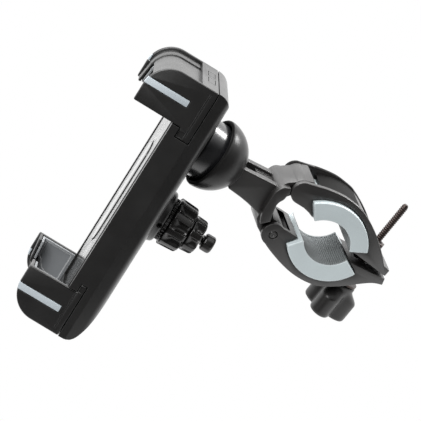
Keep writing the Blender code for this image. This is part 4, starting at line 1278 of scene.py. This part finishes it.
def build_arm():
    cheek = ARM_CHEEK + smooth_path(ARM_CHEEK_UNDER, 6)[1:] + [(7.0, -10.0)]
    cheeks = [soften(plate(cheek, y * ARM_Y, y * 3.9), 0.55, 3, 35) for y in (-1, 1)]
    block = plate(ARM_BLOCK, -4.3, 4.3)
    for y in (-2.7, -0.9, 0.9, 2.7):
        block = cut(block, plate(BLOCK_GROOVE, y - 0.35, y + 0.35))
    outline = smooth_path(ARM_BASE_OUTER, 6) + smooth_path(ARM_BASE_INNER, 6)
    base = soften(plate(outline, -PLASTIC_Y, PLASTIC_Y), 0.45, 3, 35)
    middle = arm_middle()
    base = cut(base, rod_y(20, LOWER_PIVOT, 5.6, 72))
    arm = join(base, middle, block, *cheeks)
    # clear the inside of the dome before the dome goes on
    turn = Matrix.Rotation(math.atan2(SOCKET_AXIS.x, SOCKET_AXIS.z), 4, "Y")
    axis = turn.to_3x3() @ Vector((0, 0, 1))
    core = keep(
        rod((0, 0, 0), axis * 40, 14.0, 64),
        ball((0, 0, 0), DOME_R - 1.2, 64, 40, pole=axis),
    )
    arm = join(cut(arm, core), move(dome(), turn))
    arm = finish(arm, CLAMP, "swivel_arm")
    dome_reach = 16.55 * MILLI
    second_material(
        arm, "dome_black", lambda face: (face.center - BALL_AT).length < dome_reach
    )


# ---------------------------------------------------------------- clamp arms
# outlines in (x, z)
UPPER_BACK = [
    (43.7, -13.7), (49.9, -16.3), (56.5, -20.0), (60.9, -23.7), (64.6, -27.6),
    (67.8, -33.0), (70.2, -38.1), (71.7, -42.2), (73.2, -47.2), (74.2, -51.3),
]
UPPER_NOSE = [
    (74.9, -55.5), (77.4, -58.1), (75.3, -60.7),
    (61.6, -48.2), (59.6, -48.0), (59.4, -46.7), (66.8, -47.95),
]
LOWER_OUTSIDE = [
    (22.0, -39.9), (24.3, -43.7), (28.7, -49.8), (33.2, -54.9), (37.7, -58.7), (42.1, -61.4),
    (45.7, -62.9), (51.0, -63.7), (57.7, -63.9), (63.5, -63.5), (69.7, -63.5), (74.2, -64.8),
]
LOWER_NOSE = [
    (75.3, -61.9), (68.6, -58.1), (64.1, -55.3), (59.6, -52.4), (58.6, -50.6), (62.0, -57.2),
]


def build_upper_arm():
    """Two side ribs joined by a floor that beds the rubber."""
    centre, radius = UPPER_OUTER
    bed = radius + GAP
    bed_start = angle_of(centre, (42.3, -21.0))
    bed_end = angle_of(centre, (66.9, -47.4))
    rib_outline = (
        arc(UPPER_PIVOT, 5.3, 225, 75, 28)
        + smooth_path(UPPER_BACK, 5)
        + UPPER_NOSE
        + arc(centre, bed, bed_end, bed_start, 48)
        + [(42.35, -21.2), (42.7, -29.3), (41.0, -26.7), (38.7, -24.1)]
    )
    ribs = [soften(plate(rib_outline, y * PLASTIC_Y, y * RIB_Y), 0.45, 3, 35) for y in (-1, 1)]
    floor_start = angle_of(centre, (47.4, -20.0))
    floor_outline = (
        arc(centre, bed + 2.2, floor_start, bed_end + 18, 36)
        + [(71.0, -41.6), (73.2, -47.2), (74.2, -51.3)]
        + UPPER_NOSE
        + arc(centre, bed, bed_end, floor_start, 36)
    )
    arm = join(plate(floor_outline, -RIB_Y - 0.4, RIB_Y + 0.4), *ribs)
    arm = cut(arm, rod_y(UPPER_PIN_END + GAP, UPPER_PIVOT, PIN_R + GAP, 48))
    bolt_slot = move(box((-3.6, -2.3, -22), (3.4, 2.3, 12)), BOLT_FRAME)
    nut_pocket = move(box((-4.3, -4.3, -3.6), (4.3, 4.3, 14)), BOLT_FRAME)
    arm = cut(arm, bolt_slot, nut_pocket)
    arm = finish(arm, CLAMP, "upper_clamp_arm")

    # painted shade: the back of the floor between the ribs, out to 20 mm past the bar's centre in x,
    # gets a darker, duller copy of the clamp plastic
    def in_painted_shade(face):
        between = abs(face.center.y) < (RIB_Y + 0.1) * MILLI
        beyond = bar_distance(face, centre) > (bed + 1.6) * MILLI
        hub_x = (CLAMP @ Vector((centre[0], 0, centre[1]))).x
        return between and beyond and face.center.x - hub_x < 20 * MILLI

    second_material(arm, "clamp_painted_shade", in_painted_shade)


def build_lower_arm():
    centre, radius = LOWER_OUTER
    bed_start = angle_of(centre, (31.2, -40.5))
    bed_end = angle_of(centre, (61.5, -57.1))
    outline = (
        arc(LOWER_PIVOT, 5.2, 30, 215, 36)
        + smooth_path(LOWER_OUTSIDE, 5)
        + LOWER_NOSE
        + arc(centre, radius + GAP, bed_end, bed_start, 48)
        + [(31.1, -40.1), (36.2, -38.3), (32.9, -35.6), (30.5, -33.9)]
    )
    arm = soften(plate(outline, -PLASTIC_Y, PLASTIC_Y), 0.45, 3, 35)
    knuckle_room = (
        [(17.5, LOWER_PIVOT[1] - KNUCKLE_R - 0.4)]
        + arc(LOWER_PIVOT, KNUCKLE_R + 0.4, -90, -25, 24)
        + [(31.2, -38.7), (33.3, -37.9), (33.5, -35.4), (30.6, -32.4), (29.7, -31.4)]
        + [(29.7, -27.0), (17.5, -27.0)]
    )
    arm = cut(
        arm,
        plate(knuckle_room, -RIB_Y + 0.05, RIB_Y - 0.05),
        rod_y(20, LOWER_PIVOT, PIN_R + GAP, 48),
    )
    bolt_hole = move(box((-4.8, -2.3, -40), (5.2, 2.3, 0)), BOLT_FRAME)
    wing_seat = move(rod((0, 0, -40), (0, 0, SEAT_HEIGHT), 10.6, 72), BOLT_FRAME)
    arm = cut(arm, bolt_hole, wing_seat)
    finish(arm, CLAMP, "lower_clamp_arm")


# ---------------------------------------------------------------- rubbers
def build_rubber(name, outer, inner, outer_angles, inner_angles):
    """A grip pad: smooth chamfered ends and fine ribs along the bar between them."""
    centre, radius = inner
    start, end = inner_angles
    outline = arc(*outer, *outer_angles, 64) + arc(centre, radius, end, start, 56)
    body = soften(plate(outline, -RUBBER_Y, RUBBER_Y), 0.75, 4, 40)
    # the cutter's edge swings between rib tops and the valleys between them
    tooth_pitch, valley, crest = 0.85, 0.42, 0.02
    teeth = int(math.radians(abs(end - start)) * radius / tooth_pitch)
    toothed = []
    for k in range(teeth + 1):
        toothed.append(on_circle(centre, radius + valley, start + (end - start) * k / teeth))
        if k < teeth:
            between = start + (end - start) * (k + 0.5) / teeth
            toothed.append(on_circle(centre, radius + crest, between))
    toothed += arc(centre, radius - 2.0, end, start, 40)
    body = cut(body, plate(toothed, -RUBBER_Y + 1.1, RUBBER_Y - 1.1))
    rubber = finish(body, CLAMP, name)
    # painted shade: the ribbed bore gets a darker copy of the rubber, with a duller finish than the
    # moulded ends
    second_material(
        rubber,
        "clamp_rubber_painted_shade",
        lambda face: bar_distance(face, centre) < (radius + 0.6) * MILLI
        and abs(face.normal.y) < 0.4,
    )


def build_rubbers():
    build_rubber(
        "upper_rubber",
        UPPER_OUTER,
        UPPER_INNER,
        [angle_of(UPPER_OUTER[0], point) for point in ((42.7, -21.0), (66.7, -47.2))],
        [angle_of(UPPER_INNER[0], point) for point in ((43.0, -29.5), (58.7, -45.9))],
    )
    # the inner face ends just past 180 degrees, so it is counted the other way round
    build_rubber(
        "lower_rubber",
        LOWER_OUTER,
        LOWER_INNER,
        [angle_of(LOWER_OUTER[0], point) for point in ((61.4, -57.3), (31.3, -40.6))],
        [
            angle_of(LOWER_INNER[0], (57.6, -49.8)),
            angle_of(LOWER_INNER[0], (38.6, -38.6)) - 360,
        ],
    )


# ---------------------------------------------------------------- pins, bolt and wing knob
def build_pin(name, pivot, end):
    """A hinge pin along y, with a small dimple in each rounded end."""
    head = [(0, end - 0.3), (0.5, end - 0.3), (0.75, end)]
    head += shoulder(PIN_R, end, inset=0.5, drop=0.5, steps=5)
    profile = head + [(radius, -height) for radius, height in head[::-1]]
    place = Matrix.Translation((pivot[0], 0, pivot[1])) @ Matrix.Rotation(math.pi / 2, 4, "X")
    finish(move(turned(profile, 48), place), CLAMP, name, material="clamp_black")


def build_bolt():
    """A rod with a helical thread, swept ring by ring."""
    pitch, steps, rings_per_turn = 1.0, 32, 12
    thread_depth = 0.36
    root = BOLT_R - thread_depth
    bottom, thread_start, thread_end = WING_BOTTOM + 3.0, -8.0, BOLT_END - 0.5
    count = int((thread_end - thread_start) / pitch * rings_per_turn)
    heights = [
        thread_start + (thread_end - thread_start) * i / count for i in range(count + 1)
    ]
    shape = bmesh.new()
    rings = [ring(shape, z, [BOLT_R - 0.15] * steps) for z in (bottom, thread_start - 0.4)]
    for height in heights:
        # the thread runs out over the last stretch
        share = min((thread_end - height) / 1.2, 1.0)
        radii = []
        for k in range(steps):
            phase = (height / pitch - 2 * math.pi * k / steps / (2 * math.pi)) % 1.0
            tooth = 1.0 - abs(phase - 0.5) * 2.0
            radius = root + thread_depth * min(tooth * 1.25, 1.0)
            radii.append(min(radius, root + thread_depth * share))
        rings.append(ring(shape, height, radii))
    rings.append(ring(shape, BOLT_END, [0.85] * steps))
    loft(shape, rings, caps=True)
    bolt = move(from_bmesh(shape), BOLT_FRAME)
    finish(bolt, CLAMP, "clamp_bolt", smooth_angle=40)


def build_nut():
    """A six-sided nut."""
    nut = plate(arc((0, 0), 4.1, 0, 300, 5), -3.3, -0.4, "Z", place=BOLT_FRAME)
    nut = soften(nut, 0.25, 2, 40)
    nut = cut(nut, move(rod((0, 0, -8), (0, 0, 4), 2.35, 32), BOLT_FRAME))
    finish(nut, CLAMP, "clamp_nut")


def build_wing():
    """Three-winged hand knob: a round hub that widens downwards into the wings."""
    around, along = 216, 48
    valley = HUB_R - 0.5
    length = WING_TOP - WING_BOTTOM
    shape = bmesh.new()
    rings = []
    for i in range(along + 1):
        height = WING_BOTTOM + length * i / along if i == 0 else WING_BOTTOM + length * (i / along)
        depth = WING_TOP - height
        reach = HUB_R + (WING_R - HUB_R) * smoothstep((depth - 1.6) / 5.8)
        shrink = rounding(1 - min((height - WING_BOTTOM) / 1.6, 1.0), 1.4)
        shrink += rounding(1 - min(depth / 0.9, 1.0), 0.8)
        radii = []
        for k in range(around):
            wave = 0.5 + 0.5 * math.cos(3 * (2 * math.pi * k / around))
            radii.append(valley + (reach - valley) * wave**0.9 - shrink)
        rings.append(ring(shape, height, radii))
    loft(shape, rings, caps=True)
    wing = move(from_bmesh(shape), BOLT_FRAME)
    bore = rod((0, 0, WING_BOTTOM + 2.6), (0, 0, WING_TOP + 1), BOLT_R + 0.3, 32)
    wing = cut(wing, move(bore, BOLT_FRAME))
    finish(wing, CLAMP, "wing_knob", material="wing_black", smooth_angle=50)


# ---------------------------------------------------------------- build
build_housing()
build_cover()
build_pad()
for end, side, split, foot in JAWS:
    build_jaw(end, side, split, foot)
    for y, tag in ((-1, "near"), (1, "far")):
        build_liner(side, y, f"{end}_liner_{tag}")
        build_stripe(side, y, f"{end}_stripe_{tag}")
build_ratchet_ring()
build_fluted("adjust_knob", KNOB_R, KNOB_X0, KNOB_X1, lobes=9, depth=2.3)
build_fluted("lock_knob", LOCK_R, LOCK_X0, LOCK_X1, lobes=7, depth=1.8)
build_tip()
build_ball_stud()
build_collar()
build_arm()
build_upper_arm()
build_lower_arm()
build_rubbers()
build_pin("upper_hinge_pin", UPPER_PIVOT, UPPER_PIN_END)
build_pin("lower_hinge_pin", LOWER_PIVOT, LOWER_PIN_END)
build_bolt()
build_nut()
build_wing()

# the remaining nodes keep their CAD shapes
for name, node in NODES.items():
    if name not in DONE:
        dress(node, "dark_steel" if name == "knob_washer" else SLOT_OF[name], 32)

# ---------------------------------------------------------------- stage, metres
WHITE = (1, 1, 1, 1)


def build_floor(ground):
    """Paper: plain white to the camera; for everything else it glows as painted light."""
    span = 3.0
    corners = [(-span, -span), (span, -span), (span, span), (-span, span)]
    mesh = bpy.data.meshes.new("floor")
    mesh.from_pydata([(x, y, ground) for x, y in corners], [], [(0, 1, 2, 3)])
    floor = temp("floor", mesh)
    mat, tree, bsdf = shader("floor_paper")
    tree.nodes.remove(bsdf)
    link = tree.links.new
    light_path = tree.nodes.new("ShaderNodeLightPath")
    white = add(tree, "ShaderNodeEmission", Color=WHITE, Strength=1.0)
    # painted light: the paper glows brighter behind the object, falling off towards the camera
    place = tree.nodes.new("ShaderNodeNewGeometry")
    split_place = tree.nodes.new("ShaderNodeSeparateXYZ")
    link(place.outputs["Position"], split_place.inputs[0])
    glow = map_range(
        tree,
        split_place.outputs["Y"],
        source_range=(-0.14, -0.04),
        result_range=(0.10, 1.40),
        interpolation="SMOOTHSTEP",
    )
    paper_glow = tree.nodes.new("ShaderNodeEmission")
    link(glow, paper_glow.inputs["Strength"])
    mix = tree.nodes.new("ShaderNodeMixShader")
    link(light_path.outputs["Is Camera Ray"], mix.inputs[0])
    link(paper_glow.outputs[0], mix.inputs[1])
    link(white.outputs[0], mix.inputs[2])
    link(mix.outputs[0], tree.nodes["Material Output"].inputs["Surface"])
    mesh.materials.append(mat)
    floor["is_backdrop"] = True


def build_world():
    """Brighter from behind and above, dark from the camera's side."""
    world = bpy.data.worlds.new("studio")
    bpy.context.scene.world = world
    world.use_nodes = True
    tree = world.node_tree
    link = tree.links.new
    background = tree.nodes["Background"]
    background.inputs["Color"].default_value = WHITE
    camera_back = add(tree, "ShaderNodeBackground", Color=WHITE, Strength=1.0)
    path = tree.nodes.new("ShaderNodeLightPath")
    coords = tree.nodes.new("ShaderNodeTexCoord")
    direction = tree.nodes.new("ShaderNodeSeparateXYZ")
    link(coords.outputs["Generated"], direction.inputs[0])
    # weights of "behind" and "above"
    behind = maths(tree, "MULTIPLY", direction.outputs["Y"], 0.75)
    above = maths(tree, "MULTIPLY", direction.outputs["Z"], 0.55)
    level = map_range(
        tree,
        maths(tree, "ADD", behind, above),
        source_range=(-0.45, 0.55),
        result_range=(0.03, 1.70),
        interpolation="SMOOTHSTEP",
    )
    link(level, background.inputs["Strength"])
    mix = tree.nodes.new("ShaderNodeMixShader")
    link(path.outputs["Is Camera Ray"], mix.inputs[0])
    link(background.outputs[0], mix.inputs[1])
    link(camera_back.outputs[0], mix.inputs[2])
    link(mix.outputs[0], tree.nodes["World Output"].inputs["Surface"])


def area_light(name, target, offset, size, power):
    data = bpy.data.lights.new(name, "AREA")
    data.shape = "RECTANGLE"
    data.size, data.size_y = size
    data.energy = power
    data.color = (1, 1, 1)
    obj = temp(name, data)
    obj.location = target + offset
    aim = Vector(target) - (target + offset)
    obj.rotation_euler = aim.to_track_quat("-Z", "Y").to_euler()
    obj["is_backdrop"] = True


def build_lights(centre):
    area_light(
        "top_light", centre, offset=Vector((0.05, 0.25, 0.75)), size=(0.7, 0.5), power=6.0
    )
    area_light(
        "side_light", centre, offset=0.9 * Vector((0.88, 0.20, 0.42)), size=(0.25, 0.35), power=7.0
    )
    area_light(
        "front_light", centre, offset=Vector((-0.35, -0.55, 0.76)), size=(0.5, 0.5), power=8.0
    )


def build_camera():
    data = bpy.data.cameras.new("camera")
    data.sensor_width = 36.0
    data.lens = 196.674584
    data.clip_start, data.clip_end = 0.02, 20
    camera = temp("camera", data)
    azimuth, elevation = math.radians(-8.5), math.radians(28.0)
    backward = Vector(
        (
            math.sin(azimuth) * math.cos(elevation),
            -math.cos(azimuth) * math.cos(elevation),
            math.sin(elevation),
        )
    )
    camera.location = BALL_AT + Vector((-0.1291, -0.8636, 0.4364))
    camera.rotation_mode = "QUATERNION"
    camera.rotation_quaternion = (-backward).to_track_quat("-Z", "Y")
    scene = bpy.context.scene
    scene.camera = camera
    scene.view_settings.view_transform = "Standard"
    scene.view_settings.look = "None"


low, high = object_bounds()
build_floor(ground=low.z - 0.004)
build_world()
build_lights((low + high) / 2)
build_camera()

bpy.context.view_layer.update()
low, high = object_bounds()
